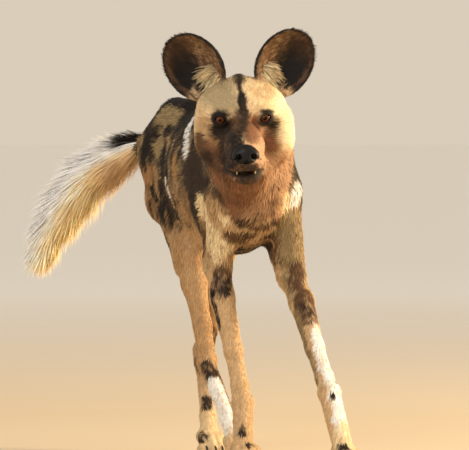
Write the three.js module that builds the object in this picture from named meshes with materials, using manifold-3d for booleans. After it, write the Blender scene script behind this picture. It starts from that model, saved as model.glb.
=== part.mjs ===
// An African wild dog (Lycaon pictus), life size, walking towards the viewer with its head turned to its
// right and its tail swung out to the same side. Millimetres, +Z up, the dog faces -Y, its left is +X.
// Origin: on the floor, under the middle of the dog's bounding box.
//
// The body is an implicit shape: bones and muscles are chains of oval cross-sections, melted together,
// each thickened by the depth of the coat there. Every named piece is that shape inside its own region
// of space, so neighbours meet at thin flat cuts.
import * as THREE from "three";
import { mergeVertices } from "three/addons/utils/BufferGeometryUtils.js";
import Module from "manifold-3d";

const wasm = await Module();
wasm.setup();

// Driving dimensions.
const CUT_GAP = 0.5; // clear space between neighbouring pieces
const FRAME_SHIFT = { x: 48, y: -144 }; // from the point between the forelegs to the box centre
const LIMB_BLEND = 22; // how softly a limb melts into the trunk
const COAT = { trunk: 8, neck: 14, head: 4, cheek: 13, leg: 5, shin: 3, paw: 2 };
const LEG_SIDES = 12;
const REACH = 1600; // half spaces are cut with boxes of this size

// Head: its own axes start midway between the eyes and run to its left, forward and up.
const HEAD_ORIGIN = new THREE.Vector3(-104, -250, 593);
const HEAD_YAW = THREE.MathUtils.degToRad(-17.8);
const HEAD_PITCH = THREE.MathUtils.degToRad(8);
const HEAD_ROLL = THREE.MathUtils.degToRad(2.4);
const EYE_SPACING = 76;
const EYE_RADIUS = 11;
const EAR = { side: 77, forward: -70, up: 79, long: 63, short: 51, depth: 26, wall: 5, lean: 38, turn: 20 };

const UP = new THREE.Vector3(0, 0, 1);
const headForward = new THREE.Vector3(Math.sin(HEAD_YAW), -Math.cos(HEAD_YAW), 0);
const headSide = new THREE.Vector3(Math.cos(HEAD_YAW), Math.sin(HEAD_YAW), 0);
const headUp = UP.clone();
for (const axis of [headForward, headUp]) axis.applyAxisAngle(headSide, HEAD_PITCH);
for (const axis of [headSide, headUp]) axis.applyAxisAngle(headForward, HEAD_ROLL);

// A point given in the head's own axes, as [x, y, z] in the row frame.
function inHead(side, forward, up) {
  return HEAD_ORIGIN.clone()
    .addScaledVector(headSide, side)
    .addScaledVector(headForward, forward)
    .addScaledVector(headUp, up)
    .toArray();
}

const mix = (a, b, t) => a.map((c, i) => c + t * (b[i] - c));
const shifted = (p, dx, dy, dz) => [p[0] + dx, p[1] + dy, p[2] + dz];

// Smooth union of two distances: k is how wide the melted zone is.
function melt(a, b, k) {
  const h = Math.max(k - Math.abs(a - b), 0) / k;
  return Math.min(a, b) - h * h * k * 0.25;
}
const together = (shapes, blend) => (x, y, z) =>
  shapes.map((shape) => shape(x, y, z)).reduce((a, b) => melt(a, b, blend));

// Distance to a chain of oval cross-sections. A joint is [x, y, z, half width, half height];
// widths run along `side`, and the ends are round.
function chain(joints, { side = [1, 0, 0], coat = 0, blend = 12 } = {}) {
  const [sx, sy, sz] = new THREE.Vector3(...side).normalize().toArray();
  const links = joints.slice(1).map((b, i) => {
    const a = joints[i];
    const along = [b[0] - a[0], b[1] - a[1], b[2] - a[2]];
    return { a, b, along, lengthSq: along[0] ** 2 + along[1] ** 2 + along[2] ** 2 };
  });
  return (x, y, z) => {
    let found = Infinity;
    for (const { a, b, along, lengthSq } of links) {
      const dot = (x - a[0]) * along[0] + (y - a[1]) * along[1] + (z - a[2]) * along[2];
      const t = Math.min(1, Math.max(0, dot / lengthSq));
      const qx = x - a[0] - t * along[0];
      const qy = y - a[1] - t * along[1];
      const qz = z - a[2] - t * along[2];
      const half = a[3] + t * (b[3] - a[3]) + coat;
      const high = a[4] + t * (b[4] - a[4]) + coat;
      const across = qx * sx + qy * sy + qz * sz;
      const sizeSq = qx * qx + qy * qy + qz * qz;
      const norm = Math.sqrt((across / half) ** 2 + Math.max(sizeSq - across * across, 0) / high ** 2);
      const d = norm < 1e-6 ? -Math.min(half, high) : Math.sqrt(sizeSq) * (1 - 1 / norm);
      found = found === Infinity ? d : melt(found, d, blend);
    }
    return found;
  };
}

// Distance to an ellipsoid with half sizes along three axes: side, forward and up.
const BODY_AXES = [new THREE.Vector3(1, 0, 0), new THREE.Vector3(0, -1, 0), UP];
function ellipsoid(centre, halves, axes = BODY_AXES) {
  return (x, y, z) => {
    const p = [x - centre[0], y - centre[1], z - centre[2]];
    let normSq = 0;
    axes.forEach((axis, i) => {
      normSq += ((p[0] * axis.x + p[1] * axis.y + p[2] * axis.z) / halves[i]) ** 2;
    });
    const norm = Math.sqrt(normSq);
    return norm < 1e-6 ? -Math.min(...halves) : Math.hypot(...p) * (1 - 1 / norm);
  };
}

// Trunk: the spine curves to the dog's right at both ends. Joints run from the breast to the tail root.
const SPINE = [
  [-12, -40, 486, 52, 92],
  [-8, 10, 492, 64, 112],
  [0, 80, 492, 70, 122],
  [10, 165, 488, 74, 116],
  [20, 258, 498, 66, 98],
  [21, 346, 518, 52, 80],
  [17, 418, 530, 46, 67],
  [5, 474, 533, 34, 44],
];
const ribsAndLoin = chain(SPINE, { coat: COAT.trunk, blend: 36 });
const withers = chain([[-18, -30, 565, 34, 40], [0, 80, 592, 26, 24], [10, 200, 588, 26, 18]], { coat: COAT.trunk });
const breast = chain([[-20, -74, 486, 36, 46], [-10, -20, 440, 34, 34]], { coat: COAT.trunk });
const croup = chain([[24, 336, 592, 26, 26], [20, 435, 594, 22, 26], [10, 484, 556, 16, 18]], { coat: COAT.trunk });
const trunk = together([ribsAndLoin, withers, breast, croup], 30);

// Neck: from the withers forward and to the right, to the back of the skull, with the throat's ruff.
const NECK_LINE = [
  [-12, -20, 532, 56, 80],
  [-44, -100, 548, 54, 66],
  [-78, -172, 570, 54, 58],
];
const neck = chain(NECK_LINE, { side: headSide.toArray(), coat: COAT.neck, blend: 30 });
const throat = chain([[-52, -120, 492, 34, 26], [-86, -196, 508, 34, 22]], { coat: COAT.neck });
const neckAndRuff = together([neck, throat], 26);

// The pose: where the joints of each leg are, and which way each paw points (0 is straight ahead).
const LEGS = {
  right_foreleg: {
    out: -1,
    blade: [-44, 28, 560],
    shoulder: [-56, -40, 462],
    elbow: [-52, 12, 330],
    wrist: [-27, -38, 104],
    knuckle: [-41, -80, 30],
    heading: -0.05,
  },
  left_foreleg: {
    out: 1,
    blade: [26, 12, 560],
    shoulder: [34, -62, 466],
    elbow: [54, -66, 316],
    wrist: [70, -200, 128],
    knuckle: [78, -248, 32],
    heading: 0.12,
  },
  right_hindleg: {
    out: -1,
    hip: [-13, 411, 530],
    stifle: [-15, 260, 358],
    hock: [9, 246, 172],
    knuckle: [20, 128, 30],
    heading: 0.02,
  },
  left_hindleg: {
    out: 1,
    hip: [52, 425, 530],
    stifle: [61, 304, 362],
    hock: [43, 356, 166],
    knuckle: [28, 290, 30],
    heading: 0.05,
  },
};

// Shoulder blade, upper arm and triceps, and below the elbow the forearm, wrist and pastern.
function foreleg({ out, blade, shoulder, elbow, wrist, knuckle }) {
  const upper = together(
    [
      chain([[...blade, 16, 36], [...shoulder, 26, 36]], { coat: COAT.trunk, blend: 20 }),
      chain([[...shoulder, 26, 34], [...shifted(elbow, 0, 4, 16), 17, 27]], { coat: COAT.leg }),
      chain([[...shifted(blade, 0, 44, -70), 14, 28], [...shifted(elbow, 0, 26, 8), 12, 15]], { coat: COAT.leg }),
    ],
    20,
  );
  const forearm = chain(
    [
      [...elbow, 16, 22],
      [...shifted(mix(elbow, wrist, 0.2), out * 3, 0, 0), 17, 22],
      [...mix(elbow, wrist, 0.6), 12, 15],
      [...mix(elbow, wrist, 0.87), 11, 13],
      [...wrist, 15, 15],
      [...knuckle, 14, 13],
    ],
    { coat: COAT.shin, blend: 8 },
  );
  return { upper, lower: forearm };
}

// Haunch and thigh, then the drumstick with its tendon, the hock and the long metatarsus.
function hindleg({ out, hip, stifle, hock, knuckle }) {
  const calf = mix(stifle, hock, 0.28);
  const heel = shifted(hock, 0, 22, 12);
  const upper = together(
    [
      chain([[...hip, 24, 54], [...shifted(stifle, 0, 12, 18), 22, 34]], { coat: COAT.leg, blend: 20 }),
      chain(
        [
          [...shifted(hip, out * 2, 46, -6), 17, 32],
          [...shifted(hip, out * 4, -2, -80), 20, 34],
          [...shifted(mix(hip, stifle, 0.75), 0, 20, 0), 17, 28],
          [...shifted(stifle, 0, 36, -22), 15, 20],
        ],
        { coat: COAT.leg, blend: 20 },
      ),
    ],
    26,
  );
  const lower = together(
    [
      chain(
        [
          [...stifle, 19, 24],
          [...shifted(calf, 0, 10, 0), 18, 26],
          [...mix(stifle, hock, 0.7), 11, 15],
          [...hock, 13, 15],
        ],
        { coat: COAT.shin },
      ),
      chain([[...shifted(calf, 0, 32, 10), 9, 12], [...heel, 7, 9]], { coat: COAT.shin }),
      chain(
        [
          [...heel, 8, 9],
          [...shifted(hock, 0, 0, -14), 12, 14],
          [...mix(hock, knuckle, 0.75), 10, 11],
          [...knuckle, 14, 13],
        ],
        { coat: COAT.shin, blend: 8 },
      ),
    ],
    12,
  );
  return { upper, lower };
}

// A paw: four arched toes spread from the knuckle, the middle two longest, each with a claw, and a pad behind.
const TOES = [-1.5, -0.5, 0.5, 1.5].map((place) => ({ place, reach: Math.abs(place) > 1 ? 26 : 37 }));
function paw({ knuckle, heading }) {
  const forward = new THREE.Vector3(Math.sin(heading), -Math.cos(heading), 0);
  const side = new THREE.Vector3(Math.cos(heading), Math.sin(heading), 0);
  const at = (across, ahead, up) =>
    new THREE.Vector3(knuckle[0], knuckle[1], up).addScaledVector(side, across).addScaledVector(forward, ahead);
  const toes = TOES.map(({ place, reach }) =>
    chain(
      [
        [...at(place * 8, -2, 28).toArray(), 8, 10],
        [...at(place * 11, reach * 0.55, 24).toArray(), 7, 9],
        [...at(place * 12.5, reach, 5).toArray(), 8, 10],
      ],
      { side: side.toArray(), coat: COAT.paw, blend: 6 },
    ),
  );
  const pad = ellipsoid(at(0, -2, 5).toArray(), [20, 19, 14], [side, forward, UP]);
  const claws = TOES.map(({ place, reach }) => ({
    root: at(place * 12.5, reach - 1, 12),
    tip: at(place * 13, reach + 17, 3),
  }));
  return { shape: together([...toes, pad], 6), claws };
}

const legs = Object.entries(LEGS).map(([name, leg]) => {
  const isFore = name.includes("fore");
  const { upper, lower } = isFore ? foreleg(leg) : hindleg(leg);
  const { shape: toes, claws } = paw(leg);
  const below = together([lower, toes], 10);
  return { name, isFore, ...leg, upper, below, claws, all: together([upper, below], 14) };
});

// Head: skull, cheekbones, cheeks with their long hair, brows, muzzle, lips and lower jaw.
const headAxes = [headSide, headForward, headUp];
const inHeadEllipsoid = (side, forward, up, halves, coat) =>
  ellipsoid(inHead(side, forward, up), halves.map((h) => h + coat), headAxes);
const headChain = (joints, options) =>
  chain(joints.map(([side, forward, up, half, high]) => [...inHead(side, forward, up), half, high]), {
    side: headSide.toArray(),
    ...options,
  });
const bothSides = (make) => [make(-1), make(1)];
const skull = together(
  [
    inHeadEllipsoid(0, -64, 6, [58, 62, 52], COAT.head + 2),
    inHeadEllipsoid(0, -18, 8, [36, 26, 24], COAT.head),
    ...bothSides((m) => inHeadEllipsoid(m * 45, -52, 2, [26, 36, 34], COAT.head + 4)),
    ...bothSides((m) => inHeadEllipsoid(m * 30, -14, 12, [14, 12, 9], COAT.head)),
    ...bothSides((m) => inHeadEllipsoid(m * 42, -54, -40, [28, 34, 36], COAT.cheek)),
  ],
  18,
);
const muzzle = together(
  [
    headChain([[0, -5, -24, 28, 28], [0, 45, -42, 28, 26], [0, 84, -53, 23, 21]], { coat: COAT.head, blend: 12 }),
    ...bothSides((m) => inHeadEllipsoid(m * 14, 72, -64, [17, 24, 14], COAT.head)),
  ],
  10,
);
const jaw = headChain([[0, -45, -72, 36, 20], [0, 25, -86, 26, 12], [0, 68, -91, 18, 8]], { coat: COAT.head });
const head = together([skull, muzzle, jaw], 12);
const headAndNeck = together([neckAndRuff, head], 26);
const body = together([trunk, headAndNeck], 30);

// Tail: a plume, flat from side to side, widest in its middle, hanging to the dog's right.
const TAIL = [
  [-2, 503, 552, 15, 24],
  [-46, 539, 528, 20, 34],
  [-86, 569, 500, 24, 50],
  [-122, 593, 455, 25, 52],
  [-152, 609, 408, 22, 44],
  [-170, 619, 362, 14, 26],
];
const tail = chain(TAIL, { side: [0.35, 0.94, 0], blend: 20 });

// Walks out from `from` along `way` to the surface of a shape, no farther than `limit`.
function reachSurface(distance, from, way, limit = 330) {
  const at = (r) => distance(from.x + way.x * r, from.y + way.y * r, from.z + way.z * r);
  let inner = 0;
  let outer = 0;
  while (outer < limit && at(outer) < 0) {
    inner = outer;
    outer += 3;
  }
  for (let halving = 0; halving < 14; halving++) {
    const middle = (inner + outer) / 2;
    if (at(middle) < 0) inner = middle;
    else outer = middle;
  }
  return from.clone().addScaledVector(way, Math.max(outer, 0.4));
}

// A closed skin of rings found on a shape, each ring in the plane of two axes round its own centre.
function rings(distance, centres, u, v, sides, limit = () => 330) {
  const points = [centres[0]];
  for (const centre of centres.slice(1, -1)) {
    for (let s = 0; s < sides; s++) {
      const angle = (s / sides) * 2 * Math.PI;
      const way = u.clone().multiplyScalar(Math.cos(angle)).addScaledVector(v, Math.sin(angle));
      points.push(reachSurface(distance, centre, way, limit(centre)));
    }
  }
  points.push(centres.at(-1));
  const last = points.length - 1;
  const triangles = [];
  for (let s = 0; s < sides; s++) {
    const next = (s + 1) % sides;
    triangles.push(0, 1 + next, 1 + s, last, last - sides + s, last - sides + next);
    for (let ring = 0; ring < centres.length - 3; ring++) {
      const a = 1 + ring * sides;
      triangles.push(a + s, a + next, a + sides + s, a + next, a + sides + next, a + sides + s);
    }
  }
  const positions = new Float32Array(points.flatMap((p) => p.toArray()));
  return new THREE.BufferGeometry()
    .setAttribute("position", new THREE.BufferAttribute(positions, 3))
    .setIndex(triangles);
}

// The corners and edges of a cell, and which patterns of inside corners have one sheet only.
const CORNERS = [0, 1, 2, 3, 4, 5, 6, 7].map((c) => [c & 1, (c >> 1) & 1, c >> 2]);
const EDGES = CORNERS.flatMap((_, a) => [1, 2, 4].filter((bit) => !(a & bit)).map((bit) => [a, a | bit]));
function partsOf(mask) {
  const group = CORNERS.map((_, c) => c);
  for (let pass = 0; pass < 8; pass++)
    for (const [a, b] of EDGES)
      if ((mask >> a) & (mask >> b) & 1) group[a] = group[b] = Math.min(group[a], group[b]);
  return new Set(group.filter((_, c) => (mask >> c) & 1)).size;
}
const IS_PLAIN = Array.from({ length: 256 }, (_, mask) => partsOf(mask) < 2 && partsOf(255 - mask) < 2);

// Surface nets: a closed mesh of `distance` = 0 inside a box, with one vertex for each cell that it crosses.
function surfaceNet(distance, low, high, cell) {
  const [nx, ny, nz] = low.map((l, i) => Math.ceil((high[i] - l) / cell) + 1);
  const value = new Float64Array(nx * ny * nz);
  const index = (i, j, k) => i + nx * (j + ny * k);
  const eachCell = (count, visit) => {
    for (let k = 0; k < nz - count; k++)
      for (let j = 0; j < ny - count; j++) for (let i = 0; i < nx - count; i++) visit(i, j, k);
  };
  eachCell(0, (i, j, k) => {
    const rim = i * j * k === 0 || i === nx - 1 || j === ny - 1 || k === nz - 1;
    const d = distance(low[0] + i * cell, low[1] + j * cell, low[2] + k * cell);
    value[index(i, j, k)] = rim ? Math.max(d, 0.1) : d;
  });
  // Where two sheets would meet inside one cell, its nearest outside corner is filled, so no edge is shared twice.
  for (let filled = 1; filled > 0; ) {
    filled = 0;
    eachCell(1, (...at) => {
      const places = CORNERS.map((c) => index(at[0] + c[0], at[1] + c[1], at[2] + c[2]));
      const mask = places.reduce((bits, p, c) => bits | ((value[p] < 0 ? 1 : 0) << c), 0);
      if (IS_PLAIN[mask]) return;
      const nearest = places.filter((p) => value[p] >= 0).sort((a, b) => value[a] - value[b])[0];
      value[nearest] = -0.1 * cell;
      filled++;
    });
  }
  const vertexOf = new Map();
  const positions = [];
  eachCell(1, (...at) => {
    const v = CORNERS.map((c) => value[index(at[0] + c[0], at[1] + c[1], at[2] + c[2])]);
    const crossed = EDGES.filter(([a, b]) => v[a] < 0 !== v[b] < 0);
    if (crossed.length === 0) return;
    vertexOf.set(index(...at), positions.length / 3);
    for (let axis = 0; axis < 3; axis++) {
      let sum = 0;
      for (const [a, b] of crossed) sum += CORNERS[a][axis] + (v[a] / (v[a] - v[b])) * (CORNERS[b][axis] - CORNERS[a][axis]);
      positions.push(low[axis] + (at[axis] + sum / crossed.length) * cell);
    }
  });
  const triangles = [];
  const step = [1, nx, nx * ny];
  eachCell(1, (...at) => {
    for (let axis = 0; axis < 3; axis++) {
      const [second, third] = [(axis + 1) % 3, (axis + 2) % 3];
      const here = index(...at);
      const inside = value[here] < 0;
      if (at[second] === 0 || at[third] === 0 || inside === value[here + step[axis]] < 0) continue;
      const cells = [here, here - step[second], here - step[second] - step[third], here - step[third]];
      const quad = cells.map((c) => vertexOf.get(c));
      if (!inside) quad.reverse();
      triangles.push(quad[0], quad[1], quad[2], quad[0], quad[2], quad[3]);
    }
  });
  return new THREE.BufferGeometry()
    .setAttribute("position", new THREE.BufferAttribute(new Float32Array(positions), 3))
    .setIndex(triangles);
}

// A closed geometry as a solid, and back.
function toSolid(geometry) {
  const plain = geometry.index ? geometry.toNonIndexed() : geometry.clone();
  plain.deleteAttribute("normal");
  plain.deleteAttribute("uv");
  const merged = mergeVertices(plain, 1e-4);
  return new wasm.Manifold(
    new wasm.Mesh({
      numProp: 3,
      vertProperties: new Float32Array(merged.attributes.position.array),
      triVerts: new Uint32Array(merged.index.array),
    }),
  );
}
function toGeometry(solid) {
  const mesh = solid.getMesh();
  return new THREE.BufferGeometry()
    .setAttribute("position", new THREE.BufferAttribute(mesh.vertProperties.slice(), 3))
    .setIndex(new THREE.BufferAttribute(mesh.triVerts.slice(), 1));
}
const net = (...options) => toSolid(surfaceNet(...options));
const loft = (...options) => toSolid(rings(...options));

// The side of a plane that `normal` points away from. `shift` moves the plane along its normal.
function halfSpace([point, normal], shift = 0) {
  const n = new THREE.Vector3(...normal).normalize();
  const turn = new THREE.Quaternion().setFromUnitVectors(UP, n);
  const centre = new THREE.Vector3(...point).addScaledVector(n, shift - REACH / 2);
  const box = new THREE.BoxGeometry(REACH, REACH, REACH);
  return toSolid(box.applyMatrix4(new THREE.Matrix4().compose(centre, turn, new THREE.Vector3(1, 1, 1))));
}
const wedge = (planes, shift = 0) => planes.map((plane) => halfSpace(plane, shift)).reduce((a, b) => a.intersect(b));
const otherSide = ([point, normal]) => [point, normal.map((c) => -c)];
const INSET = -CUT_GAP / 2;

// Where the pieces part.
const BELLY_LEVEL = 345;
const UNDER_BELLY = [[0, 0, BELLY_LEVEL], [0, 0, 1]];
const HEAD_CUT = [inHead(0, -98, 0), headForward.clone().negate().toArray()];
const NECK_CUT = [[-26, -72, 540], [-0.35, -0.92, 0.25]];
const TAIL_CUT = [[-12, 511, 550], [-0.66, 0.62, -0.42]];
const MOUTH_CORNER = [0, 20, -74]; // from here forward the lips are apart
const LIP_CUT = [inHead(...MOUTH_CORNER), headUp.clone().addScaledVector(headForward, 0.025).toArray()];
const JAW_CUT = [inHead(...shifted(MOUTH_CORNER, 0, 0, -2)), headUp.clone().addScaledVector(headForward, 0.095).toArray()];
const FLOOR = [[0, 0, 0], [0, 0, -1]];

// The region of one whole leg: a wedge over its shoulder or haunch, and all the space under the belly.
function legRegion({ isFore, out, shoulder, hip, stifle }, shift) {
  const middle = isFore ? shoulder[0] - out * 22 : hip[0] - out * 10;
  const planes = isFore
    ? [
        [[middle, 0, BELLY_LEVEL], [-out * 0.93, 0, 0.3]],
        [[0, shoulder[1] - 46, 400], [0, -1, -0.2]],
        [[0, shoulder[1] + 104, 400], [0, 1, 0.2]],
      ]
    : [
        [[middle, 330, 400], [-out * 0.95, 0.05, 0.22]],
        [[0, stifle[1] - 40, BELLY_LEVEL], [0, -0.88, 0.48]],
      ];
  return wedge(planes, shift).add(halfSpace(UNDER_BELLY, shift));
}

const pieces = {};
const add = (name, solid, colour, roughness = 0.9) => {
  // A cut can leave a crumb, so only the largest body is the piece.
  pieces[name] = { solid: solid.decompose().sort((a, b) => b.volume() - a.volume())[0], colour, roughness };
};

// Trunk and neck, without the legs' regions.
const spinePoint = (y) => {
  const after = SPINE.findIndex((joint) => joint[1] >= y);
  const b = SPINE[after === -1 ? SPINE.length - 1 : Math.max(after, 1)];
  const a = SPINE[SPINE.indexOf(b) - 1];
  const t = Math.min(1, Math.max(0, (y - a[1]) / (b[1] - a[1])));
  return new THREE.Vector3(a[0] + t * (b[0] - a[0]), y, a[2] + t * (b[2] - a[2]));
};
const TRUNK_SIDES = 20;
const trunkAndLimbs = (x, y, z) => {
  const base = body(x, y, z);
  const belowChest = Math.max(0, BELLY_LEVEL + 75 - z); // the limbs fade out of the trunk's own skin down there
  return Math.min(...legs.map((leg) => melt(base, leg.upper(x, y, z) + belowChest, LIMB_BLEND)));
};
const TRUNK_RINGS = 26;
const trunkFront = reachSurface(trunkAndLimbs, spinePoint(0), new THREE.Vector3(0, -1, 0), 115).y;
const trunkRear = reachSurface(trunkAndLimbs, spinePoint(430), new THREE.Vector3(0, 1, 0)).y;
const trunkCentres = Array.from({ length: TRUNK_RINGS }, (_, i) => {
  const t = (1 - Math.cos((Math.PI * i) / (TRUNK_RINGS - 1))) / 2;
  return spinePoint(trunkFront + (t * 0.6 + (i / (TRUNK_RINGS - 1)) * 0.4) * (trunkRear - trunkFront));
});
const wholeTrunk = loft(trunkAndLimbs, trunkCentres, new THREE.Vector3(-1, 0, 0), UP, TRUNK_SIDES);

const neckAxis = new THREE.Vector3(...mix(NECK_LINE[0], NECK_LINE[2], 1).slice(0, 3))
  .sub(new THREE.Vector3(...NECK_LINE[0].slice(0, 3)))
  .normalize();
const neckUp = UP.clone().addScaledVector(neckAxis, -UP.dot(neckAxis)).normalize();
const neckSide = new THREE.Vector3().crossVectors(neckUp, neckAxis);
const neckCentres = [-40, -36, 0, 25, 50, 75, 100, 125, 150, 175, 200, 204].map((d) =>
  new THREE.Vector3(...NECK_LINE[0].slice(0, 3)).addScaledVector(neckAxis, d),
);
const wholeNeck = loft(trunkAndLimbs, neckCentres, neckSide, neckUp, 24);

const regions = legs.map((leg) => legRegion(leg, -INSET)).reduce((a, b) => a.add(b));
add("trunk", wholeTrunk.intersect(wedge([NECK_CUT, TAIL_CUT], INSET)).subtract(regions), 0x6b5138);
add("neck", wholeNeck.intersect(wedge([otherSide(HEAD_CUT), otherSide(NECK_CUT)], INSET)).subtract(regions), 0x8a5a34);

// Head, jaw, nose, eyes and ears.
const wholeHead = net(body, [-200, -385, 450], [10, -120, 680], 15.5).intersect(wedge([HEAD_CUT], INSET));
const nose = net(inHeadEllipsoid(0, 99, -47, [20, 13, 17], 0), [-170, -385, 500], [-80, -320, 590], 8);
const noseBed = net(inHeadEllipsoid(0, 99, -47, [20, 13, 17], CUT_GAP * 1.6), [-170, -385, 500], [-80, -320, 590], 8);
const ball = (side, radius) =>
  toSolid(new THREE.SphereGeometry(radius, 12, 7).translate(...inHead((side * EYE_SPACING) / 2, -3, -1)));
const eyes = [-1, 1].map((m) => ball(m, EYE_RADIUS));
const sockets = ball(-1, EYE_RADIUS + CUT_GAP).add(ball(1, EYE_RADIUS + CUT_GAP));
const JAW_SIDES = [
  [inHead(0, -34, 0), headForward.clone().negate().toArray()],
  ...[-1, 1].map((m) => [inHead(m * 36, 0, 0), headSide.clone().multiplyScalar(m).toArray()]),
];
const jawSolid = wholeHead.intersect(wedge([JAW_CUT, ...JAW_SIDES])).intersect(halfSpace(LIP_CUT, -CUT_GAP));
const jawSpace = halfSpace(LIP_CUT).intersect(wedge(JAW_SIDES, CUT_GAP));
add("head", wholeHead.subtract(jawSpace).subtract(noseBed).subtract(sockets), 0xb08d5e);
add("lower_jaw", jawSolid, 0x4a3526);
add("nose", nose, 0x141212, 0.35);
eyes.forEach((eye, i) => add(i === 0 ? "right_eye" : "left_eye", eye, 0x6b3a12, 0.1));

// An ear: a round dish, its hollow turned forward and out, standing on the corner of the skull.
function ear(out) {
  const lean = THREE.MathUtils.degToRad(-EAR.lean * out);
  const turn = THREE.MathUtils.degToRad(EAR.turn * out);
  const open = headForward.clone().applyAxisAngle(headUp, turn);
  const across = headSide.clone().applyAxisAngle(headUp, turn).applyAxisAngle(open, lean);
  const along = headUp.clone().applyAxisAngle(open, lean);
  const frame = new THREE.Matrix4().makeBasis(across, along, open.clone());
  frame.setPosition(...inHead(out * EAR.side, EAR.forward, EAR.up));
  const sides = 16;
  const steps = [0.35, 0.66, 0.88, 1];
  const point = (r, angle, back) => {
    const hollow = EAR.depth * (1 - r * r) + back * EAR.wall * (1 - 0.35 * r);
    return new THREE.Vector3(EAR.short * r * Math.cos(angle), EAR.long * r * Math.sin(angle), -hollow).applyMatrix4(frame);
  };
  const points = [point(0, 0, 0)];
  const radii = [...steps.map((r) => [r, 0]), ...steps.slice().reverse().map((r) => [r, 1])];
  for (const [r, back] of radii)
    for (let s = 0; s < sides; s++) points.push(point(r, (s / sides) * 2 * Math.PI, back));
  points.push(point(0, 0, 1));
  const last = points.length - 1;
  const triangles = [];
  for (let s = 0; s < sides; s++) {
    const next = (s + 1) % sides;
    triangles.push(0, 1 + s, 1 + next, last, last - sides + next, last - sides + s);
    for (let ring = 0; ring < radii.length - 1; ring++) {
      const a = 1 + ring * sides;
      triangles.push(a + s, a + sides + s, a + next, a + next, a + sides + s, a + sides + next);
    }
  }
  const positions = new Float32Array(points.flatMap((p) => p.toArray()));
  const shape = new THREE.BufferGeometry().setAttribute("position", new THREE.BufferAttribute(positions, 3));
  return toSolid(shape.setIndex(triangles));
}
const nearHead = net((x, y, z) => body(x, y, z) - CUT_GAP * 2, [-200, -385, 450], [10, -60, 690], 15);
add("right_ear", ear(-1).subtract(nearHead), 0x3a281c);
add("left_ear", ear(1).subtract(nearHead), 0x3a281c);

// Tail, with rings square to its line.
const tailCentres = TAIL.map((joint) => new THREE.Vector3(...joint));
const tailCurve = new THREE.CatmullRomCurve3(tailCentres);
const tailEnd = tailCurve.getTangent(1);
const tailTip = reachSurface(tail, tailCentres.at(-1), tailEnd);
const tailSpine = [...tailCurve.getSpacedPoints(12), tailCentres.at(-1).clone().lerp(tailTip, 0.6), tailTip];
const tailFlat = new THREE.Vector3(0.35, 0.94, 0).normalize();
const tailLine = tailTip.clone().sub(tailCentres[1]).normalize();
const tailDown = new THREE.Vector3().crossVectors(tailLine, tailFlat).normalize();
const tailRoot = (x, y, z) => melt(tail(x, y, z), trunk(x, y, z), 14);
add("tail", loft(tailRoot, tailSpine, tailFlat, tailDown, 12).intersect(wedge([otherSide(TAIL_CUT)], INSET)), 0xd9c9a4);

const legLimit = (centre) => (centre.z < BELLY_LEVEL + 20 ? 58 : 150);

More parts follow.
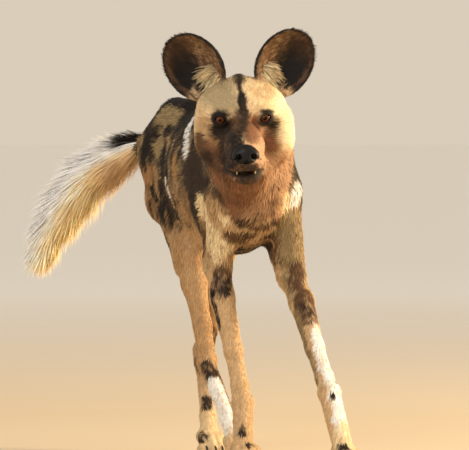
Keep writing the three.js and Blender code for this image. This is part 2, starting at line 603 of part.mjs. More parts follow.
// Legs, parted at the elbow or stifle, at the wrist or hock, and above the toes.
for (const leg of legs) {
  const { name, isFore, heading, knuckle, claws } = leg;
  const whole = (x, y, z) => melt(trunk(x, y, z), leg.all(x, y, z), LIMB_BLEND);
  const line = isFore
    ? [knuckle, leg.wrist, leg.elbow, leg.shoulder, leg.blade]
    : [knuckle, leg.hock, leg.stifle, leg.hip, shifted(leg.hip, 0, 0, 60)];
  const axisAt = (level) => {
    const above = line.findIndex((joint) => joint[2] >= level);
    if (above === 0) return new THREE.Vector3(knuckle[0], knuckle[1], level);
    const [a, b] = above === -1 ? line.slice(-2) : [line[above - 1], line[above]];
    return new THREE.Vector3(...mix(a, b, (level - a[2]) / (b[2] - a[2])));
  };
  const levels = isFore
    ? [20, 22, 42, 58, 74, 90, 106, 122, 140, 170, 200, 230, 258, 282, 304, 326, 348, 370, 395, 420, 450, 480, 510, 512]
    : [20, 22, 42, 66, 92, 118, 140, 156, 170, 184, 198, 216, 240, 264, 288, 310, 332, 354, 376, 400, 430, 460, 490, 520, 550, 575, 577];
  const column = loft(whole, levels.map(axisAt), new THREE.Vector3(1, 0, 0), new THREE.Vector3(0, 1, 0), LEG_SIDES, legLimit);
  const region = legRegion(leg, INSET);
  const side = name.replace(/_(fore|hind)leg/, "");
  const end = isFore ? "fore" : "hind";
  const low = [knuckle[0] - 44, knuckle[1] - 62, -8];
  const high = [knuckle[0] + 44, knuckle[1] + 44, 60];
  const level = (height, tilt = 0) => [[knuckle[0], knuckle[1], height], [0, tilt, 1]];
  const PASTERN = level(36, -0.25);
  let foot = net(leg.below, low, high, 11.5).intersect(halfSpace(PASTERN, INSET)).intersect(halfSpace(FLOOR));
  claws.forEach(({ root, tip }, i) => {
    const make = (grow) => {
      const length = root.distanceTo(tip);
      const turn = new THREE.Quaternion().setFromUnitVectors(new THREE.Vector3(0, 1, 0), tip.clone().sub(root).normalize());
      const cone = new THREE.CylinderGeometry(0.7 + grow, 3.6 + grow, length + grow * 2, 5);
      const middle = root.clone().lerp(tip, 0.5);
      return toSolid(cone.applyMatrix4(new THREE.Matrix4().compose(middle, turn, new THREE.Vector3(1, 1, 1))));
    };
    foot = foot.subtract(make(CUT_GAP));
    add(`${side}_${end}_claw_${i + 1}`, make(0), 0x1c1713, 0.5);
  });
  add(`${side}_${end}_paw`, foot, 0x8f7a58);
  const upperCut = isFore ? [leg.elbow, [0, -0.2, -1]] : [shifted(leg.stifle, 0, 0, -10), [0, 0.35, -1]];
  const lowerCut = isFore ? [shifted(leg.wrist, 0, 0, 14), [0, 0, -1]] : [shifted(leg.hock, 0, 0, 20), [0, -0.2, -1]];
  const top = wedge(isFore ? [upperCut] : [upperCut, TAIL_CUT], INSET);
  add(isFore ? `${side}_shoulder` : `${side}_thigh`, column.intersect(region).intersect(top), 0x7a5c3a);
  const middlePart = column.intersect(wedge([otherSide(upperCut), lowerCut], INSET)).intersect(region);
  add(isFore ? `${side}_forearm` : `${side}_shin`, middlePart, 0xb59a6c);
  const lowPart = column.intersect(wedge([otherSide(lowerCut), otherSide(PASTERN)], INSET));
  add(isFore ? `${side}_wrist` : `${side}_metatarsus`, lowPart, 0xc9b48c);
}

const group = new THREE.Group();
group.position.set(FRAME_SHIFT.x, FRAME_SHIFT.y, 0);
for (const [name, { solid, colour, roughness }] of Object.entries(pieces)) {
  const mesh = new THREE.Mesh(toGeometry(solid), new THREE.MeshStandardMaterial({ color: colour, roughness, metalness: 0 }));
  mesh.name = name;
  group.add(mesh);
}
export default group;
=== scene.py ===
# Looks of a life-size African wild dog: one skin over the flesh, its coat in tufts, eyes, nose, teeth
# and claws. The rig is the one that the solids were made from, in millimetres: the dog faces -Y, and its
# left is +X.
import math
from collections import namedtuple

import bpy
import numpy as np
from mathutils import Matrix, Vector


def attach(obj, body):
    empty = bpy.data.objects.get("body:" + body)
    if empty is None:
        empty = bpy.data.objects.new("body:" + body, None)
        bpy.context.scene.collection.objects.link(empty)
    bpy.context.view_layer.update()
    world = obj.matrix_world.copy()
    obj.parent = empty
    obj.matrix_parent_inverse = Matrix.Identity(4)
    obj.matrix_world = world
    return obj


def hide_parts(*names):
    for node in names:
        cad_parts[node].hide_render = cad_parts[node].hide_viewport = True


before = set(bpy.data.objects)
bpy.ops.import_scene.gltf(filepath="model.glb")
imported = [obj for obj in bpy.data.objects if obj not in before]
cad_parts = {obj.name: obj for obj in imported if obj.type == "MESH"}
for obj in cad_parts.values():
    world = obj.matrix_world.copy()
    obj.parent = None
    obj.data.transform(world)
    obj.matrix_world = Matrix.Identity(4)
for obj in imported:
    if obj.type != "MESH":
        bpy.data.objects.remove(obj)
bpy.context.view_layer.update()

SEED = 20240613
SHIFT = np.array([48.0, -144.0, 0.0])  # moves the rig, whose origin is between the forelegs, to the frame
COAT = dict(trunk=2.0, neck=5.0, head=2.5, cheek=6.0, leg=3.0, shin=2.0, paw=1.5)  # flesh to skin
# How wide the melted zone is where one shape joins the rest.
MELT = dict(neck=30, tail=14, paw=10, thigh=14, limb=22, face=26, ear=9)

# Head: its own axes start midway between the eyes and run to its left, forward and up.
HEAD_ORIGIN = np.array([-104.0, -250.0, 593.0])
HEAD_YAW, HEAD_PITCH, HEAD_ROLL = math.radians(-17.8), math.radians(8), math.radians(2.4)
EYE_SPACING, EYE_RADIUS, LID_RADIUS = 76.0, 11.0, 13.2
EYE_FORWARD, EYE_UP = -3.0, -1.0
EYE_OPENING = (9.5, 5.9)  # half length and half height of the gap between the lids
EYE_SLOPE = 0.22  # how much the gap rises outward
EAR_SIDE, EAR_FORWARD, EAR_UP = 77.0, -70.0, 79.0
EAR_LONG, EAR_SHORT, EAR_DEPTH, EAR_WALL = 62.0, 50.0, 26.0, 6.4
EAR_LEAN, EAR_TURN = 38.0, 20.0
NOSE, NOSE_STEP = (0, 99, -47), 0.9  # its middle, and the spacing of its own grid

UP = np.array([0.0, 0.0, 1.0])
BACK = np.array([0.0, 1.0, 0.0])
DOWN = -UP


def unit(v):
    v = np.asarray(v, float)
    return v / np.maximum(np.linalg.norm(v, axis=-1, keepdims=True), 1e-9)


def turned(v, axis, angle):
    axis = unit(axis)
    across = np.cross(axis, v)
    return v * math.cos(angle) + across * math.sin(angle) + axis * (axis @ v) * (1 - math.cos(angle))


def head_axes():
    forward = np.array([math.sin(HEAD_YAW), -math.cos(HEAD_YAW), 0])
    side = np.array([math.cos(HEAD_YAW), math.sin(HEAD_YAW), 0])
    forward, up = turned(forward, side, HEAD_PITCH), turned(UP, side, HEAD_PITCH)
    return turned(side, forward, HEAD_ROLL), forward, turned(up, forward, HEAD_ROLL)


HEAD_AXES = np.array(head_axes())
HEAD_SIDE, HEAD_FORWARD, HEAD_UP = HEAD_AXES


def in_head(side, forward, up):
    """A point given in the head's own axes, in the rig."""
    return HEAD_ORIGIN + np.array([side, forward, up], float) @ HEAD_AXES


def to_head(p):
    """The head's own side, forward and up of points in the rig."""
    return ((p - HEAD_ORIGIN) @ HEAD_AXES.T).T


def mix(a, b, t):
    return np.asarray(a, float) + t * (np.asarray(b, float) - np.asarray(a, float))


def shifted(p, dx, dy, dz):
    return np.asarray(p, float) + (dx, dy, dz)


def smooth_step(low, high, x):
    t = np.clip((x - low) / (high - low), 0, 1)
    return t * t * (3 - 2 * t)


# Distances to simple shapes. Each shape is a function from points to distances, negative inside.


def melt(a, b, k):
    """Smooth union of two distances: k is how wide the melted zone is."""
    h = np.maximum(k - np.abs(a - b), 0) / k
    return np.minimum(a, b) - h * h * k * 0.25


def carve(a, hole, k):
    """What is left of a when a hole is cut from it, with an edge rounded over about k."""
    return -melt(-a, hole, k)


def together(shapes, blend):
    def distance(p):
        found = shapes[0](p)
        for shape in shapes[1:]:
            found = melt(found, shape(p), blend)
        return found

    return distance


NEAR = 70.0  # farther out than this a shape's box is enough


def near_only(distance, low, high):
    """The same distance, worked out only near the shape's box."""

    def quick(p):
        gap = np.maximum(np.maximum(low - p, p - high), 0)
        found = np.sqrt((gap * gap).sum(1))
        near = found < NEAR
        if near.any():
            found[near] = distance(p[near])
        return found

    return quick


def chain(joints, side=(1, 0, 0), coat=0.0, blend=12.0):
    """Oval cross-sections along a line: a joint is a point, a half width along `side` and a half height."""
    joints = np.array([np.hstack(joint) for joint in joints], float)
    side = unit(side)

    def distance(p):
        found = None
        for a, b in zip(joints, joints[1:]):
            along = b[:3] - a[:3]
            q = p - a[:3]
            t = np.clip(q @ along / (along @ along), 0, 1)
            q = q - t[:, None] * along
            half = a[3] + t * (b[3] - a[3]) + coat
            high = a[4] + t * (b[4] - a[4]) + coat
            across = q @ side
            size_sq = (q * q).sum(1)
            rest = np.maximum(size_sq - across * across, 0)
            norm = np.sqrt((across / half) ** 2 + rest / high**2)
            d = np.sqrt(size_sq) * (1 - 1 / np.maximum(norm, 1e-6))
            d = np.where(norm < 1e-5, -np.minimum(half, high), d)
            found = d if found is None else melt(found, d, blend)
        return found

    reach = joints[:, 3:].max() + coat + blend / 4
    return near_only(distance, joints[:, :3].min(0) - reach, joints[:, :3].max(0) + reach)


def ellipsoid(centre, halves, axes=np.array([[1, 0, 0], [0, -1, 0], [0, 0, 1]])):
    centre, halves = np.asarray(centre, float), np.asarray(halves, float)

    def distance(p):
        q = p - centre
        norm = np.sqrt((((q @ axes.T) / halves) ** 2).sum(1))
        size = np.sqrt((q * q).sum(1))
        return np.where(norm < 1e-5, -halves.min(), size * (1 - 1 / np.maximum(norm, 1e-6)))

    return near_only(distance, centre - halves.max(), centre + halves.max())


# Trunk and neck.
SPINE = [
    [-12, -40, 486, 52, 92],
    [-8, 10, 492, 64, 112],
    [0, 80, 492, 70, 122],
    [10, 165, 488, 74, 116],
    [20, 258, 498, 66, 98],
    [21, 346, 518, 52, 80],
    [17, 418, 530, 46, 67],
    [5, 474, 533, 34, 44],
]
WITHERS = [[-18, -30, 565, 34, 40], [0, 80, 592, 26, 24], [10, 200, 588, 26, 18]]
BREAST = [[-20, -74, 486, 36, 46], [-10, -20, 440, 34, 34]]
CROUP = [[24, 336, 592, 26, 26], [20, 435, 594, 22, 26], [10, 484, 556, 16, 18]]
NECK_LINE = [[-12, -20, 532, 56, 80], [-44, -100, 548, 54, 66], [-78, -172, 570, 54, 58]]
THROAT = [[-52, -120, 492, 34, 26], [-86, -196, 508, 34, 22]]

trunk = together(
    [chain(SPINE, coat=COAT["trunk"], blend=36)]
    + [chain(line, coat=COAT["trunk"]) for line in (WITHERS, BREAST, CROUP)],
    30,
)
neck = together(
    [chain(NECK_LINE, side=HEAD_SIDE, coat=COAT["neck"], blend=30), chain(THROAT, coat=COAT["neck"])], 26
)

# The pose: where the joints of each leg are, and which way each paw points (0 is straight ahead).
LEGS = dict(
    right_foreleg=dict(
        out=-1,
        blade=(-44, 28, 560),
        shoulder=(-56, -40, 462),
        elbow=(-52, 12, 330),
        wrist=(-27, -38, 104),
        knuckle=(-41, -80, 30),
        heading=-0.05,
    ),
    left_foreleg=dict(
        out=1,
        blade=(26, 12, 560),
        shoulder=(34, -62, 466),
        elbow=(54, -66, 316),
        wrist=(70, -200, 128),
        knuckle=(78, -248, 32),
        heading=0.12,
    ),
    right_hindleg=dict(
        out=-1,
        hip=(-13, 411, 530),
        stifle=(-15, 260, 358),
        hock=(9, 246, 172),
        knuckle=(20, 128, 30),
        heading=0.02,
    ),
    left_hindleg=dict(
        out=1,
        hip=(52, 425, 530),
        stifle=(61, 304, 362),
        hock=(43, 356, 166),
        knuckle=(28, 290, 30),
        heading=0.05,
    ),
)


def foreleg(out, blade, shoulder, elbow, wrist, knuckle, heading):
    """Shoulder blade, upper arm and triceps, and below the elbow the forearm, wrist and pastern."""
    leg, shin = COAT["leg"], COAT["shin"]
    upper = together(
        [
            chain([(*blade, 16, 36), (*shoulder, 26, 36)], coat=COAT["trunk"], blend=20),
            chain([(*shoulder, 26, 34), (*shifted(elbow, 0, 4, 16), 17, 27)], coat=leg),
            chain([(*shifted(blade, 0, 44, -70), 14, 28), (*shifted(elbow, 0, 26, 8), 12, 15)], coat=leg),
        ],
        20,
    )
    lower = chain(
        [
            (*elbow, 16, 22),
            (*shifted(mix(elbow, wrist, 0.2), out * 3, 0, 0), 17, 22),
            (*mix(elbow, wrist, 0.6), 12, 15),
            (*mix(elbow, wrist, 0.87), 11, 13),
            (*wrist, 15, 15),
            (*knuckle, 14, 13),
        ],
        coat=shin,
        blend=8,
    )
    return upper, lower


def hindleg(out, hip, stifle, hock, knuckle, heading):
    """Haunch and thigh, then the drumstick with its tendon, the hock and the long metatarsus."""
    leg, shin = COAT["leg"], COAT["shin"]
    calf = mix(stifle, hock, 0.28)
    heel = shifted(hock, 0, 22, 12)
    upper = together(
        [
            chain([(*hip, 24, 54), (*shifted(stifle, 0, 12, 18), 22, 34)], coat=leg, blend=20),
            chain(
                [
                    (*shifted(hip, out * 2, 46, -6), 17, 32),
                    (*shifted(hip, out * 4, -2, -80), 20, 34),
                    (*shifted(mix(hip, stifle, 0.75), 0, 20, 0), 17, 28),
                    (*shifted(stifle, 0, 36, -22), 15, 20),
                ],
                coat=leg,
                blend=20,
            ),
        ],
        26,
    )
    drumstick = chain(
        [
            (*stifle, 19, 24),
            (*shifted(calf, 0, 10, 0), 18, 26),
            (*mix(stifle, hock, 0.7), 11, 15),
            (*hock, 13, 15),
        ],
        coat=shin,
    )
    tendon = chain([(*shifted(calf, 0, 32, 10), 9, 12), (*heel, 7, 9)], coat=shin)
    metatarsus = chain(
        [
            (*heel, 8, 9),
            (*shifted(hock, 0, 0, -14), 12, 14),
            (*mix(hock, knuckle, 0.75), 10, 11),
            (*knuckle, 14, 13),
        ],
        coat=shin,
        blend=8,
    )
    return upper, together([drumstick, tendon, metatarsus], 12)


TOES = [(-1.5, 26), (-0.5, 37), (0.5, 37), (1.5, 26)]  # place across the paw, and reach


def paw_point(leg, across, ahead, up):
    side = np.array([math.cos(leg["heading"]), math.sin(leg["heading"]), 0])
    forward = np.array([math.sin(leg["heading"]), -math.cos(leg["heading"]), 0])
    return np.array([*leg["knuckle"][:2], up]) + side * across + forward * ahead


def paw(leg):
    """Four arched toes spread from the knuckle, the middle two longest, and a pad behind."""
    side = (math.cos(leg["heading"]), math.sin(leg["heading"]), 0)
    toes = [
        chain(
            [
                (*paw_point(leg, place * 8, -2, 28), 8, 10),
                (*paw_point(leg, place * 11, reach * 0.55, 24), 6.2, 9),
                (*paw_point(leg, place * 12.5, reach, 5 + COAT["paw"]), 6.6, 10),
            ],
            side=side,
            coat=COAT["paw"],
            blend=5,
        )
        for place, reach in TOES
    ]
    pad = ellipsoid(paw_point(leg, 0, -2, 5), (20, 19, 14))
    return together([*toes, pad], 2.5)


for leg_name, one_leg in LEGS.items():
    one_leg["upper"], one_leg["lower"] = (foreleg if "fore" in leg_name else hindleg)(**one_leg)
    one_leg["paw"] = paw(one_leg)

# Tail: the skin holds only its slim core, and the plume is all coat.
TAIL_LINE = np.array(
    [
        [-2.0, 503, 552],
        [-46, 539, 528],
        [-86, 569, 500],
        [-122, 593, 455],
        [-152, 609, 408],
        [-170, 619, 362],
    ]
)
TAIL_CORE = [13, 11, 9.5, 8, 6.5, 5]  # half thickness at each point of the line
PLUME_WIDE = [15, 20, 24, 25, 22, 14]  # how far the plume reaches to each side of the line
PLUME_DEEP = [26, 36, 52, 54, 46, 28]  # and below it
TAIL_SIDE = unit((0.35, 0.94, 0))
tail = chain(
    [(*point, size, size * 1.2) for point, size in zip(TAIL_LINE, TAIL_CORE)], side=TAIL_SIDE, blend=12
)


# Head.


def head_ellipsoid(centre, halves, coat):
    return ellipsoid(in_head(*centre), np.array(halves) + coat, HEAD_AXES)


def head_chain(joints, **options):
    return chain([(*in_head(*joint[:3]), *joint[3:]) for joint in joints], side=HEAD_SIDE, **options)


def both_sides(make):
    """What `make` gives for the right side, -1, and for the left side, 1."""
    return [make(-1), make(1)]


HEAD_COAT, CHEEK_COAT = COAT["head"], COAT["cheek"]
skull = together(
    [
        head_ellipsoid((0, -64, 6), (58, 62, 52), HEAD_COAT + 1),
        head_ellipsoid((0, -18, 8), (36, 26, 24), HEAD_COAT),
        *both_sides(lambda m: head_ellipsoid((m * 45, -52, 2), (26, 36, 34), HEAD_COAT + 2)),
        *both_sides(lambda m: head_ellipsoid((m * 30, -14, 12), (14, 12, 9), HEAD_COAT)),
        *both_sides(lambda m: head_ellipsoid((m * 42, -54, -40), (28, 34, 36), CHEEK_COAT)),
    ],
    18,
)
muzzle = together(
    [
        head_chain([(0, -5, -24, 28, 28), (0, 45, -42, 28, 26), (0, 84, -53, 23, 21)], coat=HEAD_COAT),
        *both_sides(lambda m: head_ellipsoid((m * 14, 72, -64), (17, 24, 14), HEAD_COAT)),
    ],
    10,
)
jaw = head_chain([(0, -45, -72, 36, 20), (0, 25, -86, 26, 12), (0, 68, -91, 18, 8)], coat=HEAD_COAT)
bare_head = together([skull, muzzle, jaw], 12)

MOUTH_CORNER = (20, -74)  # forward and up, where the lips part
LIP_SLOPE, JAW_SLOPE, LIP_GAP = 0.02, 0.10, 3.2


def eye_centre(m):
    return in_head(m * EYE_SPACING / 2, EYE_FORWARD, EYE_UP)


lid_ball = {m: ellipsoid(eye_centre(m), [LID_RADIUS] * 3) for m in (-1, 1)}
hollow_by_eye = {m: head_ellipsoid((m * 20, 10, -14), (7, 10, 12), 0) for m in (-1, 1)}
mouth_cave = head_chain([(0, 34, -78, 13, 5), (0, 74, -80, 11, 5)])
nose_shape = head_ellipsoid(NOSE, (20, 13, 17), 0)


def eye_slit(p, m):
    """How far a point is outside the almond between the lids, which slopes down to the nose."""
    side, forward, up = to_head(p)
    across = m * side - EYE_SPACING / 2
    height = up - EYE_UP - EYE_SLOPE * across
    half_length, half_height = EYE_OPENING
    lens = np.abs(height) - half_height * (1 - (across / half_length) ** 2)
    return np.maximum(lens * 0.75, EYE_FORWARD - 1 - forward)


def face(p):
    """The head with its lids, the hollows round its eyes, its mouth and the place of its nose."""
    d = bare_head(p)
    side, forward, up = to_head(p)
    for m in (-1, 1):
        d = carve(d, hollow_by_eye[m](p), 12)
        d = melt(d, lid_ball[m](p), 5)
        d = carve(d, eye_slit(p, m), 2.0)
    above_jaw = -(up - MOUTH_CORNER[1] + LIP_GAP + JAW_SLOPE * (forward - MOUTH_CORNER[0]))
    below_lip = up - MOUTH_CORNER[1] + LIP_SLOPE * (forward - MOUTH_CORNER[0])
    mouth = np.maximum(np.maximum(above_jaw, below_lip), MOUTH_CORNER[0] - forward)
    d = carve(d, np.where(np.abs(side) < 60, mouth, 60), 2.5)
    d = carve(d, mouth_cave(p), 2)
    return carve(d, nose_shape(p) + 0.6, 1.5)


def ear_axes(out):
    turn, lean = math.radians(EAR_TURN * out), math.radians(-EAR_LEAN * out)
    opening = turned(HEAD_FORWARD, HEAD_UP, turn)
    across = turned(turned(HEAD_SIDE, HEAD_UP, turn), opening, lean)
    return np.array([across, turned(HEAD_UP, opening, lean), opening])


EAR_NAMES = {-1: "right_ear", 1: "left_ear"}
EAR_AXES = {out: ear_axes(out) for out in (-1, 1)}
EAR_CENTRE = {out: in_head(out * EAR_SIDE, EAR_FORWARD, EAR_UP) for out in (-1, 1)}


def in_ear(p, out):
    """A point's place across and along the ear, out of its hollow, and its share of the way to the rim."""
    across, along, outward = ((p - EAR_CENTRE[out]) @ EAR_AXES[out].T).T
    share = np.sqrt((across / EAR_SHORT) ** 2 + (along / EAR_LONG) ** 2)
    return across, along, outward, share


def ear(out):
    """A round dish with a rounded rim, its hollow turned forward and out."""

    def distance(p):
        _, _, outward, share = in_ear(p, out)
        wall = EAR_WALL * (1 - 0.2 * np.minimum(share, 1))
        middle = -EAR_DEPTH * (1 - share**2) - wall / 2
        slope = 2 * EAR_DEPTH * share / EAR_SHORT
        off_middle = np.abs(outward - middle) / np.sqrt(1 + slope**2)
        off_rim = np.maximum((share - 1) * EAR_SHORT + wall / 2, 0)
        return np.hypot(off_middle, off_rim) - wall / 2

    reach = EAR_LONG + 4
    return near_only(distance, EAR_CENTRE[out] - reach, EAR_CENTRE[out] + reach)


ears = {out: ear(out) for out in (-1, 1)}


def skin(p):
    """The whole animal without its coat, cut flat at the floor."""
    d = melt(trunk(p), neck(p), MELT["neck"])
    d = melt(d, tail(p), MELT["tail"])
    for one in LEGS.values():
        limb = melt(melt(one["lower"](p), one["paw"](p), MELT["paw"]), one["upper"](p), MELT["thigh"])
        d = melt(d, limb, MELT["limb"])
    d = melt(d, face(p), MELT["face"])
    for out in (-1, 1):
        d = melt(d, ears[out](p), MELT["ear"])
    return np.maximum(d, -p[:, 2])


# Surface nets: a mesh of distance = 0 with one vertex for each cell that the surface crosses.


def steps(*spans):
    """Grid lines from spans of (start, end, spacing)."""
    lines = [np.arange(start, end, size) for start, end, size in spans]
    return np.unique(np.round(np.concatenate(lines), 3))


def grid_of(lines):
    """Every point of the grid whose lines along each axis are given."""
    return np.stack(np.meshgrid(*lines, indexing="ij"), -1).reshape(-1, 3)


BLOCK, BATCH = 8, 400  # grid points along a block's side, and blocks worked out at once
UNKNOWN = 1e3  # stands in for a distance until it is worked out
STEEPEST, MARGIN = 1.7, 6.0  # a block farther off than this times its half diagonal, plus this, is skipped


def sampled(distance, lines):
    """The distance at every grid point, worked out in full only in the blocks near the surface."""
    shape = tuple(len(line) for line in lines)
    value = np.full(shape, UNKNOWN, np.float32)
    starts = [np.arange(0, n, BLOCK) for n in shape]
    ends = [np.minimum(s + BLOCK, n) for s, n in zip(starts, shape)]
    centres = [(line[s] + line[e - 1]) / 2 for line, s, e in zip(lines, starts, ends)]
    halves = [(line[e - 1] - line[s]) / 2 for line, s, e in zip(lines, starts, ends)]
    reach = np.linalg.norm(grid_of(halves), axis=1)
    found = distance(grid_of(centres))
    blocks = grid_of([range(len(s)) for s in starts])
    places, inside = [], []
    for (i, j, k), d, r in zip(blocks, found, reach):
        span = tuple(slice(starts[a][n], ends[a][n]) for a, n in enumerate((i, j, k)))
        if abs(d) > STEEPEST * r + MARGIN:
            value[span] = d
            continue
        places.append(span)
        inside.append(grid_of([line[s] for line, s in zip(lines, span)]))
    for first in range(0, len(places), BATCH):
        some = inside[first : first + BATCH]
        d = distance(np.concatenate(some))
        at = 0
        for span, points in zip(places[first : first + BATCH], some):
            value[span] = d[at : at + len(points)].reshape(value[span].shape)
            at += len(points)
    return value


CORNERS = np.array([[c & 1, (c >> 1) & 1, c >> 2] for c in range(8)])
CELL_EDGES = [(a, a | bit) for a in range(8) for bit in (1, 2, 4) if not a & bit]


def surface_net(distance, lines):
    """Points and outward quads of the surface; a cell's point is the mean of where its edges are crossed."""
    value = sampled(distance, lines)
    inside = value < 0
    corner = [inside[tuple(slice(o, o - 1 if o == 0 else None) for o in c)] for c in CORNERS]
    some, every = corner[0].copy(), corner[0].copy()
    for one in corner[1:]:
        some |= one
        every &= one
    cells = np.argwhere(some & ~every)
    values = np.stack([value[tuple((cells + c).T)] for c in CORNERS], 1)
    total, count = np.zeros((len(cells), 3)), np.zeros(len(cells))
    for a, b in CELL_EDGES:
        crossed = (values[:, a] < 0) != (values[:, b] < 0)
        gap = np.where(crossed, values[:, a] - values[:, b], 1)
        t = np.where(crossed, values[:, a] / gap, 0)
        total += crossed[:, None] * (CORNERS[a] + t[:, None] * (CORNERS[b] - CORNERS[a]))
        count += crossed
    place = total / count[:, None]
    along = zip(lines, cells.T, place.T)
    points = np.stack([line[c] + w * (line[c + 1] - line[c]) for line, c, w in along], 1)
    number = np.full(value.shape, -1, np.int32)
    number[tuple(cells.T)] = np.arange(len(cells))
    quads = []
    for axis in range(3):
        before = inside.take(range(inside.shape[axis] - 1), axis)
        after = inside.take(range(1, inside.shape[axis]), axis)
        at = np.argwhere(before != after)
        second, third = np.roll(np.eye(3, dtype=int), -1 - axis, axis=0)[:2]
        at = at[(at @ second > 0) & (at @ third > 0)]
        around = (0 * second, second, second + third, third)
        quad = np.stack([number[tuple((at - o).T)] for o in around], 1)
        outward = before[tuple(at.T)]
        quad[~outward] = quad[~outward][:, ::-1]
        quads.append(quad[(quad >= 0).all(1)])
    return points, np.concatenate(quads)


SLOPE_STEP = 0.6


def slope_of(distance, p):
    """The way out of a shape at points, as unit vectors."""
    steps_along = SLOPE_STEP * np.eye(3)
    return unit(np.stack([distance(p + step) - distance(p - step) for step in steps_along], 1))


def settled(distance, p, most=1.5):
    """Points moved onto the surface in two rounds, each by no more than `most`."""
    for _ in range(2):
        here = distance(p)
        slope = unit(np.stack([distance(p + step) - here for step in SLOPE_STEP * np.eye(3)], 1))
        p = p - np.clip(here, -most, most)[:, None] * slope
    return p


# The skin's grid is finest over the head and the ears.
SKIN_LINES = [
    steps((-222, 42, 2.15), (42, 108, 3.4), (108, 132, 5.2)),
    steps((-372, -124, 2.15), (-124, 634, 6.6)),
    steps((-9, 36, 3.4), (36, 470, 7.0), (470, 556, 3.6), (556, 758, 2.15)),
]
skin_points, skin_quads = surface_net(skin, SKIN_LINES)
skin_points = settled(skin, skin_points)
skin_points[:, 2] = np.maximum(skin_points[:, 2], 0.0)
skin_normals = slope_of(skin, skin_points)
print(f"skin: {len(skin_points)} points, {len(skin_quads)} quads")


def to_row(p):
    """Points of the rig in the frame, in metres."""
    return (p + SHIFT) / 1000


def add_mesh(name, points, faces, colours=None, uv=None):
    """A smooth mesh object from arrays: points in the rig, faces all of one size."""
    faces = np.asarray(faces, np.int32)
    mesh = bpy.data.meshes.new(name)
    mesh.vertices.add(len(points))
    mesh.vertices.foreach_set("co", to_row(points).astype(np.float32).ravel())
    mesh.loops.add(faces.size)
    mesh.loops.foreach_set("vertex_index", faces.ravel())
    mesh.polygons.add(len(faces))
    mesh.polygons.foreach_set("loop_start", np.arange(0, faces.size, faces.shape[1], dtype=np.int32))
    mesh.update(calc_edges=True)
    mesh.polygons.foreach_set("use_smooth", np.ones(len(faces), bool))
    if colours is not None:
        layer = mesh.color_attributes.new("pelt", "FLOAT_COLOR", "POINT")
        rgba = np.concatenate([colours, np.ones((len(colours), 1))], 1).astype(np.float32)
        layer.data.foreach_set("color", rgba.ravel())
    if uv is not None:
        layer = mesh.uv_layers.new(name="OFBake")
        layer.uv.foreach_set("vector", uv[faces.ravel()].astype(np.float32).ravel())
    piece = bpy.data.objects.new(name, mesh)
    bpy.context.scene.collection.objects.link(piece)
    return piece


# Materials: a colour attribute carries the markings, and nodes add grain, bump and roughness.


def new_material(name, roughness, specular=0.5, coat=0.0, coat_roughness=0.06):
    """A material with its nodes, its links and its shader."""
    material = bpy.data.materials.new(name)
    material.use_nodes = True
    nodes, links = material.node_tree.nodes, material.node_tree.links
    shader = nodes["Principled BSDF"]
    shader.inputs["Roughness"].default_value = roughness
    shader.inputs["Specular IOR Level"].default_value = specular
    shader.inputs["Coat Weight"].default_value = coat
    shader.inputs["Coat Roughness"].default_value = coat_roughness
    return material, nodes, links, shader


def add_node(nodes, kind, operation=None, **inputs):
    node = nodes.new(kind)
    if operation:
        node.operation = operation
    for key, value in inputs.items():
        node.inputs[key.replace("_", " ")].default_value = value
    return node


def add_ramp(nodes, links, factor, shader, stops):
    """A ramp of colours from `factor` into the shader's base colour; a stop is a place and a colour."""
    ramp = add_node(nodes, "ShaderNodeValToRGB")
    elements = ramp.color_ramp.elements
    for element, (place, _) in zip(elements, stops):
        element.position = place
    for place, _ in stops[2:]:
        elements.new(place)
    for element, (_, colour) in zip(elements, stops):
        element.color = (*colour, 1)
    links.new(factor, ramp.inputs["Fac"])
    links.new(ramp.outputs["Color"], shader.inputs["Base Color"])


def add_bump(nodes, links, shader, scale, strength, distance, stretch=(1, 1, 1)):
    where = add_node(nodes, "ShaderNodeTexCoord")
    mapping = add_node(nodes, "ShaderNodeMapping", Scale=stretch)
    rough = add_node(nodes, "ShaderNodeTexNoise", Scale=scale, Detail=4.0)
    bump = add_node(nodes, "ShaderNodeBump", Strength=strength, Distance=distance)
    links.new(where.outputs["Object"], mapping.inputs["Vector"])
    links.new(mapping.outputs["Vector"], rough.inputs["Vector"])
    links.new(rough.outputs["Fac"], bump.inputs["Height"])
    links.new(bump.outputs["Normal"], shader.inputs["Normal"])
    return rough


def pelt_material(name, roughness, grain_scale, grain, bump_scale, bump_strength):
    """Takes the markings from the pelt attribute, and varies them by a fine grain."""
    material, nodes, links, shader = new_material(name, roughness, specular=0.25)
    pelt = add_node(nodes, "ShaderNodeAttribute")
    pelt.attribute_name = "pelt"
    where = add_node(nodes, "ShaderNodeTexCoord")
    speckle = add_node(nodes, "ShaderNodeTexNoise", Scale=grain_scale, Detail=3.0)
    links.new(where.outputs["Object"], speckle.inputs["Vector"])
    level = add_node(
        nodes, "ShaderNodeMapRange", From_Min=0.3, From_Max=0.7, To_Min=1 - grain, To_Max=1 + grain
    )
    links.new(speckle.outputs["Fac"], level.inputs["Value"])
    shade = add_node(nodes, "ShaderNodeVectorMath", "SCALE")
    links.new(pelt.outputs["Color"], shade.inputs[0])
    links.new(level.outputs["Result"], shade.inputs["Scale"])
    links.new(shade.outputs["Vector"], shader.inputs["Base Color"])
    add_bump(nodes, links, shader, bump_scale, bump_strength, 0.0012)
    return material


def linear(red, green, blue):
    """A colour as numbers from 0 to 255 on a screen, made linear."""
    return (np.array([red, green, blue]) / 255) ** 2.2


# Eyes: a ball with a raised cornea, its pole along the gaze.
GAZE_TURN, GAZE_LIFT = math.radians(-3), math.radians(1)
IRIS_RADIUS, PUPIL_RADIUS, CORNEA_RISE = 7.4, 3.1, 0.9
EYE_GAP = 0.4  # between the ball and the lids


